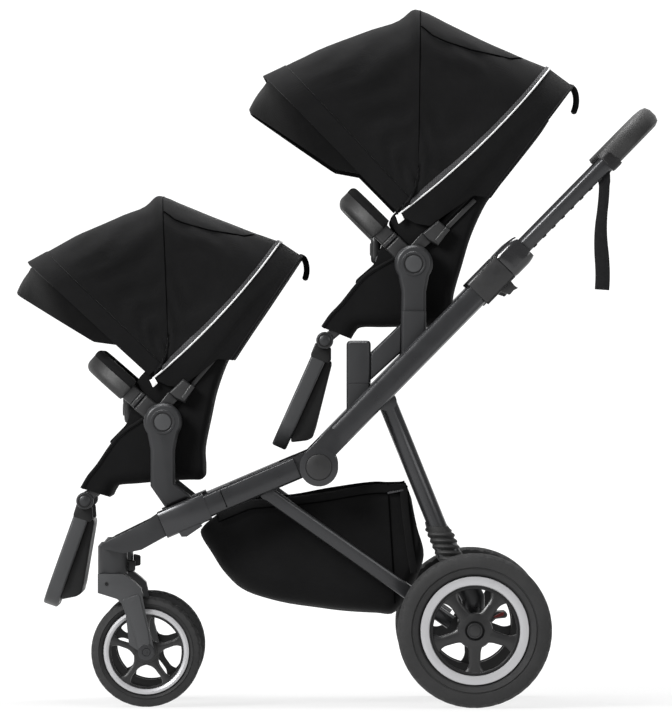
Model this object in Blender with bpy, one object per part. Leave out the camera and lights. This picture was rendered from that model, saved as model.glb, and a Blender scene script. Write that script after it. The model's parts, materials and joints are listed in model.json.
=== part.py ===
"""Convertible stroller with two seats in line, in metres.

The stroller faces -X, +Z is up, and its left side is at -Y. The origin lies on the floor, under
the middle of the whole stroller. Side views are drawn as (x, z) points.
"""
import math

import bmesh
import bpy
from mathutils import Matrix, Vector

# Clearances
FIT_GAP = 0.0003
SLIDE_GAP = 0.0005
PIN_GAP = 0.0004

# Side frame
FRAME_Y = 0.235
TUBE_WIDTH = 0.030
TUBE_INNER_Y = FRAME_Y - TUBE_WIDTH / 2
HUB = Vector((-0.0237, 0.3951))
HUB_RADIUS = 0.0319
HUB_PROUD = 0.003
HUB_PLATE_GAP = 0.0006
HUB_CLEAR = 0.034

# Upper tube and what sits on it
UPPER_ANGLE = math.radians(45.5)
UPPER_DIR = Vector((math.cos(UPPER_ANGLE), math.sin(UPPER_ANGLE)))
UPPER_POINT = Vector((0.1215, 0.5623))
UPPER_HEIGHT = 0.039
UPPER_TOP = 0.274
COLLAR_LENGTH = 0.045
COLLAR_HEIGHT = 0.051
COLLAR_WIDTH = 0.038
SLIDER_LENGTH = 0.064
SLIDER_HEIGHT = 0.050
SLIDER_WIDTH = 0.036
SLIDER_LUG = 0.016

# Handle
INNER_HEIGHT = 0.025
INNER_WIDTH = 0.020
INNER_ENGAGED = 0.070
HANDLE_LOWER_TRAVEL = 0.130
HANDLE_REACH = 0.5655
HANDLE_BEND = 0.075
GRIP_HEIGHT = 0.037
GRIP_WIDTH = 0.033
GRIP_RAISE = 0.003
GRIP_LEG = 0.0995
GRIP_START = HANDLE_REACH - GRIP_LEG
STRAP_WIDTH = 0.026
STRAP_THICKNESS = 0.006
STRAP_BEFORE_GRIP = 0.030
STRAP_DROP = 0.1873

# Front tube, leg and caster
FRONT_ANGLE = math.radians(203.07)
FRONT_DIR = Vector((math.cos(FRONT_ANGLE), math.sin(FRONT_ANGLE)))
FRONT_POINT = Vector((-0.0548, 0.3959))
FRONT_HEIGHT = 0.038
FRONT_LENGTH = 0.246
FRONT_END = FRONT_POINT + FRONT_DIR * FRONT_LENGTH
HOUSING_HEIGHT = 0.046
HOUSING_WIDTH = 0.034
HOUSING_LENGTH = 0.080
SHELF_LENGTH = 0.056
CROSS_TUBE_RADIUS = 0.011
CROSS_TUBE_AT = FRONT_END + Vector((0.0341, 0.0135))
CASTER_AHEAD = 0.0818
CASTER_X = FRONT_END.x - CASTER_AHEAD
CASTER_Y = 0.210
CASTER_RADIUS = 0.0246
CASTER_LOW = 0.2197
LEG_CASTING_TOP = [(-0.012, 0.0403), (-0.018, 0.0468), (-0.0059, 0.0549), (0.0529, 0.0838)]
LEG_CASTING_LOW = [(0.0476, 0.0395), (0.018, 0.0335)]
FORK_WHEEL_GAP = 0.0020
FORK_ARM_WIDTH = 0.0085
FORK_BOSS_RADIUS = 0.0140
FORK_PIN_RADIUS = 0.004
FORK_TOP = (-0.0243, 0.0179)
FORK_REAR_EDGE = [(-0.0183, 0.1140), (-0.0086, 0.1046), (-0.0036, 0.0775), (0.0044, 0.0371)]
FORK_FRONT_EDGE = [(-0.0283, 0.0124), (-0.0334, 0.0602), (-0.0404, 0.0795), (-0.0476, 0.0870),
                   (-0.0796, 0.0970)]
FORK_CROWN_LOW = [(-0.0069, 0.0960), (-0.0374, 0.0942), (-0.0796, 0.0972)]
LOCK_RISE = 0.0018
LOCK_LENGTH = 0.012
LOCK_WIDTH = 0.014
LOCK_HEIGHT = 0.022

# Wheels
REAR_WHEEL_Y = 0.260
REAR_RADIUS = 0.127
REAR_WHEEL = Vector((0.232, REAR_RADIUS))
REAR_RIM_RADIUS = 0.0898
REAR_OPENING = 0.0706
REAR_HALF_WIDTH = 0.024
FRONT_RADIUS = 0.091
CASTER_TRAIL = 0.0553
FRONT_WHEEL = Vector((CASTER_X + CASTER_TRAIL, FRONT_RADIUS))
FRONT_RIM_RADIUS = 0.0712
FRONT_OPENING = 0.0600
FRONT_HALF_WIDTH = 0.017
CAP_RADIUS = 0.0130
CAP_SEAT = 0.012
CAP_FACE = 0.0235
SPOKES = 5
TYRE_FACETS = 24

# Rear legs, braces and axle
LEG_Y = 0.203
LEG_RADIUS = 0.015
LEG_TOP = Vector((0.0885, 0.5030))
LEG_KNEE = Vector((0.2195, 0.1800))
BOOT_RADIUS = 0.0225
BOOT_LENGTH = 0.051
BOOT_RIBS = 4
BOOT_FACETS = 12
BOOT_AT = 0.226
LOWER_LEG_RADIUS = 0.019
AXLE_SIZE = 0.036
AXLE_PIN_RADIUS = 0.006
PEDAL_HALF_WIDTH = 0.045
PEDAL_OUTLINE = [(0, 0.002), (0.010, 0.004), (0.020, 0.013), (0.038, 0.015), (0.040, 0.022), (0.034, 0.026),
                 (0.014, 0.024), (0, 0.017)]
BRACE_Y = 0.2085
BRACE_WIDTH = 0.018
BRACE_HEIGHT = 0.024
BRACE_TOP = Vector((-0.109, 0.3524))
BRACE_END = Vector((0.194, 0.1388))

# Seat mounts on the upper tube
MOUNT_INNER_Y = 0.184
POST_LEFT = 0.0222
POST_WIDTH = 0.0394
POST_TOP = 0.6028
POST_FOOT = 0.4703
MOUNT_LEFT = 0.1116
MOUNT_WIDTH = 0.0412
MOUNT_TOP = 0.6513
MOUNT_OUTER_DROP = 0.0593
MOUNT_INNER_DROP = 0.0197
POST_INNER_DROP = 0.0203
MOUNT_KNEES = [(0.0394, 0.0417), (0.0738, 0.0797)]

# Layers across a seat, from its middle outwards
SHELL_Y = 0.150
SHELL_WALL = 0.006
SEAT_TUBE_RADIUS = 0.0073
CANOPY_ARM_Y = 0.1660
CANOPY_ARM_WIDTH = 0.0055
HOOD_Y = 0.1790
HOOD_WALL = 0.0065
HUB_PLATE_Y = 0.1830
LEG_PLATE_Y = 0.1833
LEG_PLATE_WIDTH = 0.0232
SEAT_HUB_RADIUS = 0.0316
LEG_WAIST = 0.0203
FRONT_FOOT_SPAN = (0.0050, 0.0479)
FRONT_KNEE = (-0.1052, -0.1010)
BUTTON_RADIUS = 0.0142
BUTTON_DEPTH = 0.006
BUTTON_TRAVEL = 0.004
BUTTON_PROUD = 0.0015
BUMPER_Y = 0.167
BUMPER_HEIGHT = 0.034
BUMPER_WIDTH = 0.024
BUMPER_START = 0.060
BUMPER_STRAIGHT = 0.013
FOOTREST_Y = 0.120
FOOTREST_BOSS = 0.0142

# Two seats of one design
SEATS = {
    "rear": {
        "hub": Vector((0.1325, 0.7294)),
        "scale": 1.0,
        "tilt": 0.0,
        "pivot": Vector((-0.0158, 0.0925)),
        "canopy": 1.0,
        "canopy_turn": 0.0,
        "bumper_angle": 135.0,
        "bumper_reach": 0.143,
    },
    "front": {
        "hub": FRONT_END + Vector((0.0001, 0.1691)),
        "scale": 0.95,
        "tilt": 4.5,
        "pivot": Vector((-0.0100, 0.0809)),
        "canopy": 0.885,
        "canopy_turn": 4.0,
        "bumper_angle": 138.5,
        "bumper_reach": 0.140,
    },
}

# Side outlines of the seat and its cavity, from the hub
SHELL_OUTLINE = [(-0.150, -0.104), (-0.118, -0.065), (-0.071, -0.014), (-0.0335, 0.008), (0.020, 0.040),
                 (0.110, 0.130), (0.190, 0.235), (0.226, 0.240), (0.2046, 0.2082), (0.1515, 0.1406),
                 (0.1214, 0.1026), (0.096, 0.049), (0.0805, -0.0013), (0.0663, -0.052), (0.063, -0.102),
                 (-0.0855, -0.1036), (-0.1026, -0.123)]
CAVITY_OUTLINE = [(-0.175, -0.079), (0.033, -0.079), (0.045, -0.045), (0.058, 0.004), (0.072, 0.052),
                  (0.100, 0.108), (0.178, 0.212), (0.222, 0.275), (0.000, 0.300), (-0.250, 0.060)]
FOOTREST_HINGE = Vector((-0.1467, -0.126))
FOOTREST_OUTLINE = [(-0.017, -0.0055), (-0.0247, -0.023), (-0.0872, -0.167), (-0.0864, -0.1718),
                    (-0.0665, -0.182), (-0.0617, -0.1806), (-0.0571, -0.171), (-0.0293, -0.1663),
                    (-0.0199, -0.1615), (-0.0144, -0.145), (0.0119, -0.0387), (0.0142, -0.010)]
SEAT_BACK_TOP = Vector((0.195, 0.250))
SEAT_BACK_KINK = Vector((0.095, 0.105))

# Canopy bows, as angles in degrees from +X and radii from the canopy's pivot
CANOPY_BACK = (36.3, 0.345)
CANOPY_REAR_BOW = (43.75, 0.337)
CANOPY_MID_BOW = (86.6, 0.333)
CANOPY_FRONT_BOW = (130.1, 0.305)
CANOPY_VISOR_EDGE = (147.5, 0.3144)
CANOPY_REAR_SAG = 0.022
CANOPY_FRONT_SAG = 0.021
CANOPY_SEAM_GAP = 0.3
CANOPY_START = 0.020
CANOPY_ARM_DEPTH = 0.010
CANOPY_FLARE = 0.010
CANOPY_CORNER = 0.075
PIVOT_RADIUS = 0.012

BASKET_Y = 0.185
BASKET_WALL = 0.005
BASKET_HEM_POINTS = 5
BASKET_LOOP = [(-0.168, 0.3245), (-0.142, 0.3360), (-0.142, 0.3480), (-0.168, 0.3380)]
BASKET_OUTLINE = [(-0.1889, 0.3186), (-0.1358, 0.3401), (-0.0654, 0.3459), (0.0638, 0.3656),
                  (0.1243, 0.3665), (0.137, 0.3424), (0.1568, 0.2498), (0.1024, 0.1586),
                  (0.0087, 0.1636), (-0.0721, 0.1751), (-0.1416, 0.1933), (-0.1764, 0.2213),
                  (-0.1985, 0.2526), (-0.219, 0.2873)]

SIDES = {"left": -1, "right": 1}

COLOURS = {
    "frame_metal": ((0.055, 0.056, 0.060), 0.42, 0.85),
    "dark_plastic": ((0.030, 0.030, 0.032), 0.50, 0.0),
    "grip_leather": ((0.020, 0.020, 0.021), 0.55, 0.0),
    "fabric": ((0.014, 0.014, 0.015), 0.90, 0.0),
    "tyre_rubber": ((0.040, 0.040, 0.042), 0.80, 0.0),
    "rim_plastic": ((0.050, 0.050, 0.053), 0.45, 0.1),
    "boot_rubber": ((0.018, 0.018, 0.018), 0.75, 0.0),
    "webbing": ((0.012, 0.012, 0.012), 0.85, 0.0),
}


def clear_scene():
    for old in list(bpy.data.objects):
        bpy.data.objects.remove(old, do_unlink=True)


def material(name):
    found = bpy.data.materials.get(name)
    if found:
        return found
    colour, roughness, metallic = COLOURS[name]
    made = bpy.data.materials.new(name)
    made.use_nodes = True
    shader = made.node_tree.nodes["Principled BSDF"]
    shader.inputs["Base Color"].default_value = (*colour, 1.0)
    shader.inputs["Roughness"].default_value = roughness
    shader.inputs["Metallic"].default_value = metallic
    return made


def new_object(name, verts, faces, slot):
    """A closed mesh with its faces pointing out."""
    mesh = bpy.data.meshes.new(name)
    bm = bmesh.new()
    made = [bm.verts.new(v) for v in verts]
    for face in faces:
        bm.faces.new([made[i] for i in face])
    bmesh.ops.remove_doubles(bm, verts=bm.verts, dist=1e-6)
    bmesh.ops.recalc_face_normals(bm, faces=bm.faces)
    bm.to_mesh(mesh)
    bm.free()
    obj = bpy.data.objects.new(name, mesh)
    bpy.context.collection.objects.link(obj)
    mesh.materials.append(material(slot))
    mesh.shade_smooth()
    mesh.set_sharp_from_angle(angle=math.radians(35))
    return obj


def combine(target, tools, operation):
    """Joins or cuts the target with each tool, and removes the tools."""
    for tool in tools:
        step = target.modifiers.new("combine", "BOOLEAN")
        step.operation = operation
        step.object = tool
        bpy.context.view_layer.update()
        graph = bpy.context.evaluated_depsgraph_get()
        result = bpy.data.meshes.new_from_object(target.evaluated_get(graph))
        target.modifiers.remove(step)
        target.data = result
        bpy.data.objects.remove(tool, do_unlink=True)
    target.data.set_sharp_from_angle(angle=math.radians(35))
    return target


def soften(obj, width, angle=50):
    """Rounds the sharp edges."""
    edge = obj.modifiers.new("soften", "BEVEL")
    edge.width = width
    edge.segments = 1
    edge.limit_method = "ANGLE"
    edge.angle_limit = math.radians(angle)
    return obj


def set_origin(obj, x, y, z):
    """Moves the object's origin to its joint, with the shape left where it is."""
    at = Vector((x, y, z))
    obj.data.transform(Matrix.Translation(-at))
    obj.location = at
    return obj


def prism(name, outline, low_y, high_y, slot):
    """An outline of (x, z) points, extruded across the stroller."""
    count = len(outline)
    verts = [(x, low_y, z) for x, z in outline] + [(x, high_y, z) for x, z in outline]
    faces = [list(range(count)), list(range(count, 2 * count))]
    for i in range(count):
        j = (i + 1) % count
        faces.append([i, j, count + j, count + i])
    return new_object(name, verts, faces, slot)


def side_prism(name, outline, side, inner, outer, slot):
    return prism(name, outline, *sorted((side * inner, side * outer)), slot)


def round_section(width, height, radius, steps=2, raised=0.0):
    """A rounded rectangle of (across, up) points."""
    points = []
    for turn, (u, v) in enumerate(((1, 1), (-1, 1), (-1, -1), (1, -1))):
        for i in range(steps + 1):
            angle = math.radians(90 * (turn + i / steps))
            points.append((u * (width / 2 - radius) + radius * math.cos(angle),
                           v * (height / 2 - radius) + radius * math.sin(angle) + raised))
    return points


def circle_section(radius, count):
    return [(radius * math.cos(2 * math.pi * i / count), radius * math.sin(2 * math.pi * i / count))
            for i in range(count)]


def sweep(name, path, normal, section, slot):
    """A section carried along a flat path, mitred at its corners."""
    path = [Vector(p) for p in path]
    normal = Vector(normal).normalized()
    verts, faces = [], []
    for i, point in enumerate(path):
        before = (point - path[i - 1]).normalized() if i else None
        after = (path[i + 1] - point).normalized() if i + 1 < len(path) else None
        along = ((before or after) + (after or before)).normalized()
        up = along.cross(normal).normalized()
        stretch = 1.0 / max(along.dot(after or before), 0.5)
        verts += [point + normal * u + up * v * stretch for u, v in section]
    count = len(section)
    for i in range(len(path) - 1):
        for j in range(count):
            k = (j + 1) % count
            faces.append([i * count + j, i * count + k, (i + 1) * count + k, (i + 1) * count + j])
    faces.append(list(range(count)))
    faces.append(list(range(len(verts) - count, len(verts))))
    return new_object(name, verts, faces, slot)


def fillet(points, radius, steps):
    """Rounds the inner corners of an open path."""
    points = [Vector(p) for p in points]
    out = [points[0]]
    for before, corner, after in zip(points, points[1:], points[2:]):
        back, on = (before - corner).normalized(), (after - corner).normalized()
        half = back.angle(on) / 2
        reach = radius / math.tan(half)
        centre = corner + (back + on).normalized() * (radius / math.sin(half))
        first, last = corner + back * reach - centre, corner + on * reach - centre
        first, last = first.normalized(), last.normalized()
        for i in range(steps + 1):
            out.append(centre + first.slerp(last, i / steps) * radius)
    out.append(points[-1])
    return out


def turned(name, profile, origin, axis, facets, slot, closed=False, phase=0.5):
    """A profile of (radius, distance along the axis) points, turned about the axis."""
    origin, axis = Vector(origin), Vector(axis).normalized()
    side = axis.orthogonal().normalized() if abs(axis.y) < 0.9 else Vector((0, 0, -1))
    other = axis.cross(side)
    verts, faces, rings = [], [], []
    for radius, along in profile:
        if radius == 0:
            verts.append(origin + axis * along)
            rings.append([len(verts) - 1] * facets)
            continue
        first = len(verts)
        for i in range(facets):
            angle = 2 * math.pi * (i + phase) / facets
            verts.append(origin + axis * along + (side * math.cos(angle) + other * math.sin(angle)) * radius)
        rings.append(list(range(first, first + facets)))
    pairs = list(zip(rings, rings[1:])) + ([(rings[-1], rings[0])] if closed else [])
    for low, high in pairs:
        for i in range(facets):
            j = (i + 1) % facets
            face = list(dict.fromkeys([low[i], low[j], high[j], high[i]]))
            if len(face) > 2:
                faces.append(face)
    if not closed:
        faces += [ring for ring in (rings[0], rings[-1]) if ring[0] != ring[1]]
    return new_object(name, verts, faces, slot)


def rod(name, radius, x, z, low_y, high_y, facets, slot):
    """A round bar across the stroller."""
    return turned(name, [(radius, 0), (radius, high_y - low_y)], (x, low_y, z), (0, 1, 0), facets, slot)


def side_rod(name, radius, at, side, inner, outer, facets, slot):
    low, high = sorted((side * inner, side * outer))
    return rod(name, radius, at.x, at.y, low, high, facets, slot)


def turn(point, degrees):
    """Turns an (x, z) point, anticlockwise as the left side of the stroller is seen."""
    angle = math.radians(degrees)
    return Vector((point[0] * math.cos(angle) - point[1] * math.sin(angle),
                   point[0] * math.sin(angle) + point[1] * math.cos(angle)))


LEG_DIR = (LEG_KNEE - LEG_TOP).normalized()
UPPER_FOOT = (HUB - UPPER_POINT).dot(UPPER_DIR)
FRONT_FOOT = (HUB - FRONT_POINT).dot(FRONT_DIR)


def on_upper(distance, y=0.0):
    """A point of the upper tube's axis."""
    at = UPPER_POINT + UPPER_DIR * distance
    return Vector((at.x, y, at.y))


def on_front(distance, y=0.0):
    at = FRONT_POINT + FRONT_DIR * distance
    return Vector((at.x, y, at.y))


def beside(start, direction, along, across):
    """A point beside a line of the side view, along it and then to its left."""
    return Vector((start.x + direction.x * along - direction.y * across,
                   start.y + direction.y * along + direction.x * across))


def upper_tube(label, side):
    y = side * FRAME_Y
    outer_y, split_y = FRAME_Y + TUBE_WIDTH / 2, FRAME_Y + HUB_PLATE_GAP / 2
    tube = sweep("upper_tube_" + label, [on_upper(UPPER_FOOT + HUB_CLEAR, y), on_upper(UPPER_TOP, y)],
                 (0, 1, 0), round_section(TUBE_WIDTH, UPPER_HEIGHT, 0.010), "frame_metal")
    half, reach = UPPER_HEIGHT / 2, HUB_CLEAR * 1.8
    web = [beside(UPPER_POINT, UPPER_DIR, UPPER_FOOT + a, b)
           for a, b in ((0, -half), (reach, -half), (reach, half * 0.98), (0, half * 0.98))]
    plate = side_prism("web", web, side, split_y, outer_y, "frame_metal")
    disc = side_rod("disc", HUB_RADIUS, HUB, side, split_y, outer_y + HUB_PROUD, 32, "frame_metal")
    combine(tube, [plate, disc], "UNION")
    depth = INNER_ENGAGED + HANDLE_LOWER_TRAVEL + 0.010
    bore = sweep("bore", [on_upper(UPPER_TOP - depth, y), on_upper(UPPER_TOP + 0.02, y)], (0, 1, 0),
                 round_section(INNER_WIDTH + 2 * SLIDE_GAP, INNER_HEIGHT + 2 * SLIDE_GAP, 0.006),
                 "frame_metal")
    combine(tube, [bore], "DIFFERENCE")
    return set_origin(tube, HUB.x, y, HUB.y)


def sleeve(name, side, start, end, width, height, slot, raised=0.0):
    """A block that slides on, or is fixed over, the upper tube."""
    y = side * FRAME_Y
    block = sweep(name, [on_upper(start, y), on_upper(end, y)], (0, 1, 0),
                  round_section(width, height, 0.007, raised=raised), slot)
    hole = sweep("hole", [on_upper(start - 0.01, y), on_upper(end + 0.01, y)], (0, 1, 0),
                 round_section(TUBE_WIDTH + 2 * FIT_GAP, UPPER_HEIGHT + 2 * FIT_GAP, 0.010 + FIT_GAP), slot)
    return combine(block, [hole], "DIFFERENCE")


def height_collar(label, side):
    return sleeve("height_collar_" + label, side, UPPER_TOP - COLLAR_LENGTH, UPPER_TOP,
                  COLLAR_WIDTH, COLLAR_HEIGHT, "dark_plastic")


def fold_slider(label, side):
    end = UPPER_TOP - COLLAR_LENGTH - SLIDE_GAP
    block = sleeve("fold_slider_" + label, side, end - SLIDER_LENGTH, end, SLIDER_WIDTH, SLIDER_HEIGHT,
                   "dark_plastic")
    base = SLIDER_HEIGHT / 2
    lug = [beside(UPPER_POINT, UPPER_DIR, end - a, -b)
           for a, b in ((0.036, base - 0.003), (0.030, base + SLIDER_LUG * 0.6), (0.010, base + SLIDER_LUG),
                        (0.012, base + SLIDER_LUG * 0.5), (0.018, base - 0.003))]
    finger = side_prism("lug", lug, side, FRAME_Y - 0.009, FRAME_Y + 0.009, "dark_plastic")
    combine(block, [finger], "UNION")
    at = on_upper(end, side * FRAME_Y)
    return set_origin(block, at.x, at.y, at.z)


def seat_mount(label, side):
    post_right, mount_right = POST_LEFT + POST_WIDTH, MOUNT_LEFT + MOUNT_WIDTH
    knees = [(POST_LEFT + x, POST_FOOT + z) for x, z in MOUNT_KNEES]
    outline = [(POST_LEFT, POST_TOP), (POST_LEFT, POST_FOOT), *knees,
               (mount_right, MOUNT_TOP - MOUNT_OUTER_DROP), (mount_right, MOUNT_TOP), (MOUNT_LEFT, MOUNT_TOP),
               (MOUNT_LEFT, MOUNT_TOP - MOUNT_INNER_DROP), (post_right, POST_TOP - POST_INNER_DROP),
               (post_right, POST_TOP)]
    plate = side_prism("seat_mount_" + label, outline, side, MOUNT_INNER_Y, TUBE_INNER_Y - FIT_GAP,
                       "frame_metal")
    return soften(plate, 0.004)


def handlebar_path(start):
    low, high = on_upper(start, -FRAME_Y), on_upper(HANDLE_REACH, -FRAME_Y)
    corners = [low, high, high + Vector((0, 2 * FRAME_Y, 0)), low + Vector((0, 2 * FRAME_Y, 0))]
    return fillet(corners, HANDLE_BEND, 5)


HANDLE_NORMAL = (-UPPER_DIR.y, 0, UPPER_DIR.x)


def swap(section):
    """Turns a section from (across, up) to the (up, across) of a path that bends sideways."""
    return [(v, u) for u, v in section]


def handlebar():
    bar = sweep("handlebar", handlebar_path(UPPER_TOP - INNER_ENGAGED), HANDLE_NORMAL,
                swap(round_section(INNER_WIDTH, INNER_HEIGHT, 0.006)), "frame_metal")
    at = on_upper(UPPER_TOP)
    return set_origin(bar, at.x, at.y, at.z)


def handle_grip():
    section = swap(round_section(GRIP_WIDTH, GRIP_HEIGHT, 0.012, raised=GRIP_RAISE))
    grip = sweep("handle_grip", handlebar_path(GRIP_START), HANDLE_NORMAL, section, "grip_leather")
    core = sweep("core", handlebar_path(GRIP_START - 0.02), HANDLE_NORMAL,
                 swap(round_section(INNER_WIDTH + 2 * FIT_GAP, INNER_HEIGHT + 2 * FIT_GAP, 0.006)),
                 "grip_leather")
    return combine(grip, [core], "DIFFERENCE")


def wrist_strap():
    under = -INNER_HEIGHT / 2 - FIT_GAP
    at = on_upper(GRIP_START - STRAP_BEFORE_GRIP)
    left, right, low = at.x, at.x + STRAP_WIDTH, at.z - STRAP_DROP
    ends = []
    for x in (right, left):
        along = (x - UPPER_POINT.x - UPPER_DIR.y * -under) / UPPER_DIR.x
        ends.append(beside(UPPER_POINT, UPPER_DIR, along, under))
    outline = [(left, low), (right, low), *ends]
    return prism("wrist_strap", outline, -FRAME_Y - STRAP_THICKNESS / 2, -FRAME_Y + STRAP_THICKNESS / 2,
                 "webbing")


def front_tube(label, side):
    y = side * FRAME_Y
    tube = sweep("front_tube_" + label, [on_front(FRONT_FOOT + HUB_CLEAR, y), on_front(FRONT_LENGTH, y)],
                 (0, 1, 0), round_section(TUBE_WIDTH, FRONT_HEIGHT, 0.010), "frame_metal")
    split_y = FRAME_Y - HUB_PLATE_GAP / 2
    half, reach = FRONT_HEIGHT / 2, HUB_CLEAR * 1.8
    web = [beside(FRONT_POINT, FRONT_DIR, FRONT_FOOT + a, b)
           for a, b in ((0, -half * 0.98), (reach, -half * 0.98), (reach, half), (0, half))]
    plate = side_prism("web", web, side, TUBE_INNER_Y, split_y, "frame_metal")
    disc = side_rod("disc", HUB_RADIUS - 0.001, HUB, side, TUBE_INNER_Y, split_y, 32, "frame_metal")
    housing = sweep("housing", [on_front(FRONT_LENGTH - HOUSING_LENGTH, y), on_front(FRONT_LENGTH, y)],
                    (0, 1, 0), round_section(HOUSING_WIDTH, HOUSING_HEIGHT, 0.008), "frame_metal")
    base = HOUSING_HEIGHT / 2
    lug = [beside(FRONT_POINT, FRONT_DIR, FRONT_LENGTH - a, b)
           for a, b in ((0.058, base - 0.004), (0.060, base + 0.004), (0.030, base + 0.010),
                        (0.022, base + 0.007), (0.020, base - 0.004))]
    latch = side_prism("latch", lug, side, FRAME_Y - 0.013, FRAME_Y + 0.013, "frame_metal")
    shelf = [beside(FRONT_POINT, FRONT_DIR, FRONT_LENGTH - a, b)
             for a, b in ((0, -base), (SHELF_LENGTH, -base), (SHELF_LENGTH, base - 0.006), (0, base - 0.006))]
    seat_shelf = side_prism("shelf", shelf, side, MOUNT_INNER_Y, FRAME_Y - HOUSING_WIDTH / 4, "frame_metal")
    return combine(tube, [plate, disc, housing, latch, seat_shelf], "UNION")


def front_leg(label, side):
    half = FRONT_HEIGHT / 2
    start = FRONT_LENGTH + FIT_GAP
    top = beside(FRONT_POINT, FRONT_DIR, start, -half - 0.001)
    bottom = beside(FRONT_POINT, FRONT_DIR, start, half)
    caster = Vector((CASTER_X, CASTER_LOW))
    outline = [*(caster + Vector(p) for p in LEG_CASTING_TOP), top, bottom,
               *(caster + Vector(p) for p in LEG_CASTING_LOW)]
    casting = side_prism("front_leg_" + label, outline, side, CASTER_Y - 0.004, FRAME_Y + TUBE_WIDTH / 2,
                         "frame_metal")
    socket = turned("socket", [(CASTER_RADIUS, 0), (CASTER_RADIUS, 0.045), (CASTER_RADIUS - 0.006, 0.052)],
                    (CASTER_X, side * CASTER_Y, CASTER_LOW), (0, 0, 1), 24, "frame_metal")
    return combine(casting, [socket], "UNION")


def front_cross_tube():
    reach = MOUNT_INNER_Y - FIT_GAP
    return rod("front_cross_tube", CROSS_TUBE_RADIUS, CROSS_TUBE_AT.x, CROSS_TUBE_AT.y, -reach, reach, 16,
               "frame_metal")


def caster_fork(label, side):
    y = side * CASTER_Y
    low_y = FRONT_HALF_WIDTH + FORK_WHEEL_GAP
    high_y = low_y + FORK_ARM_WIDTH
    top = [(CASTER_X + x, CASTER_LOW - FIT_GAP) for x in FORK_TOP]
    rear_edge, front_edge, crown_low = ([FRONT_WHEEL + Vector(p) for p in edge]
                                        for edge in (FORK_REAR_EDGE, FORK_FRONT_EDGE, FORK_CROWN_LOW))
    boss = [FRONT_WHEEL + turn((FORK_BOSS_RADIUS, 0), a) for a in range(10, -200, -50)]
    arm_outline = [*top, *rear_edge, *boss, *front_edge]
    crown_outline = [*top, *rear_edge[:2], *crown_low]
    fork = prism("caster_fork_" + label, crown_outline, y - low_y - 0.001, y + low_y + 0.001, "frame_metal")
    arms = [prism("arm", arm_outline, *sorted((y + way * low_y, y + way * high_y)), "frame_metal")
            for way in (-1, 1)]
    reach = low_y + 0.002
    pin = rod("pin", FORK_PIN_RADIUS, FRONT_WHEEL.x, FRONT_WHEEL.y, y - reach, y + reach, 16, "frame_metal")
    combine(fork, [*arms, pin], "UNION")
    return set_origin(fork, CASTER_X, y, CASTER_LOW)


def caster_lock(label, side):
    left = CASTER_X + CASTER_RADIUS + FIT_GAP
    right, low = left + LOCK_LENGTH, CASTER_LOW + LOCK_RISE
    high = low + LOCK_HEIGHT
    outline = [(left, low), (right, low + 0.0025), (right, high - 0.003), (left, high)]
    inner, outer = CASTER_Y - LOCK_WIDTH / 2, CASTER_Y + LOCK_WIDTH / 2
    return soften(side_prism("caster_lock_" + label, outline, side, inner, outer, "dark_plastic"), 0.0015)


def tyre(name, centre, y, radius, inner, half_width):
    """The lowest facet of the tread lies flat on the floor."""
    corner = radius / math.cos(math.pi / TYRE_FACETS)
    flat = half_width * 0.55
    half = [(inner, half_width * 0.78), (corner - 0.018, half_width), (corner - 0.006, half_width * 0.88),
            (corner, flat)]
    profile = [(radius, -across) for radius, across in half] + half[::-1]
    return turned(name, profile, (centre.x, y, centre.y), (0, 1, 0), TYRE_FACETS, "tyre_rubber", closed=True)


def window(radius_in, radius_out, middle, half_in, half_out, centre):
    """A rounded window between two spokes."""
    points = []
    for radius, half, ways in ((radius_in, half_in, (-1, 0, 1)), (radius_out, half_out, (1, 0.4, -0.4, -1))):
        for way in ways:
            lift = 0.004 if radius == radius_in and way else 0.0
            points.append(centre + turn((radius + lift, 0), middle + way * half))
    return points


def rim(name, centre, y, side, radius, opening, half_width, hub_profile, spoke_phase, web):
    """A dished rim: a band, five spokes near its outer face, and a hub."""
    band = half_width * 0.72
    inner_hub, outer_hub = hub_profile
    low, high = web
    profile = [*inner_hub, (0.020, -band), (0.020, low), (opening, low), (opening, -band), (radius, -band),
               (radius, band), (opening, band), (opening, high), (0.021, high), *outer_hub]
    wheel = turned(name, profile, (centre.x, y, centre.y), (0, side, 0), TYRE_FACETS, "rim_plastic",
                   closed=True)
    step = 360 / SPOKES
    cuts = [prism("window", window(0.030, opening - 0.001, spoke_phase + (i + 0.5) * step, 19, 27, centre),
                  y - 0.05, y + 0.05, "rim_plastic") for i in range(SPOKES)]
    return combine(wheel, cuts, "DIFFERENCE")


def rear_wheel(label, side):
    y = side * REAR_WHEEL_Y
    tread = tyre("rear_tyre_" + label, REAR_WHEEL, y, REAR_RADIUS, REAR_RIM_RADIUS + FIT_GAP, REAR_HALF_WIDTH)
    bore, pocket = AXLE_PIN_RADIUS + PIN_GAP, CAP_RADIUS + PIN_GAP
    hub_profile = ([(bore, CAP_SEAT), (bore, -REAR_HALF_WIDTH * 0.72)],
                   [(0.0165, 0.0215), (pocket, 0.0215), (pocket, CAP_SEAT)])
    disc = rim("rear_rim_" + label, REAR_WHEEL, y, side, REAR_RIM_RADIUS, REAR_OPENING, REAR_HALF_WIDTH,
               hub_profile, 270, (0.004, 0.0145))
    seat = REAR_WHEEL_Y + CAP_SEAT + BUTTON_TRAVEL + SLIDE_GAP
    cap = side_rod("hub_cap_" + label, CAP_RADIUS, REAR_WHEEL, side, seat, REAR_WHEEL_Y + CAP_FACE, 24,
                   "dark_plastic")
    for obj in (tread, disc, cap):
        set_origin(obj, REAR_WHEEL.x, y, REAR_WHEEL.y)


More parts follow.
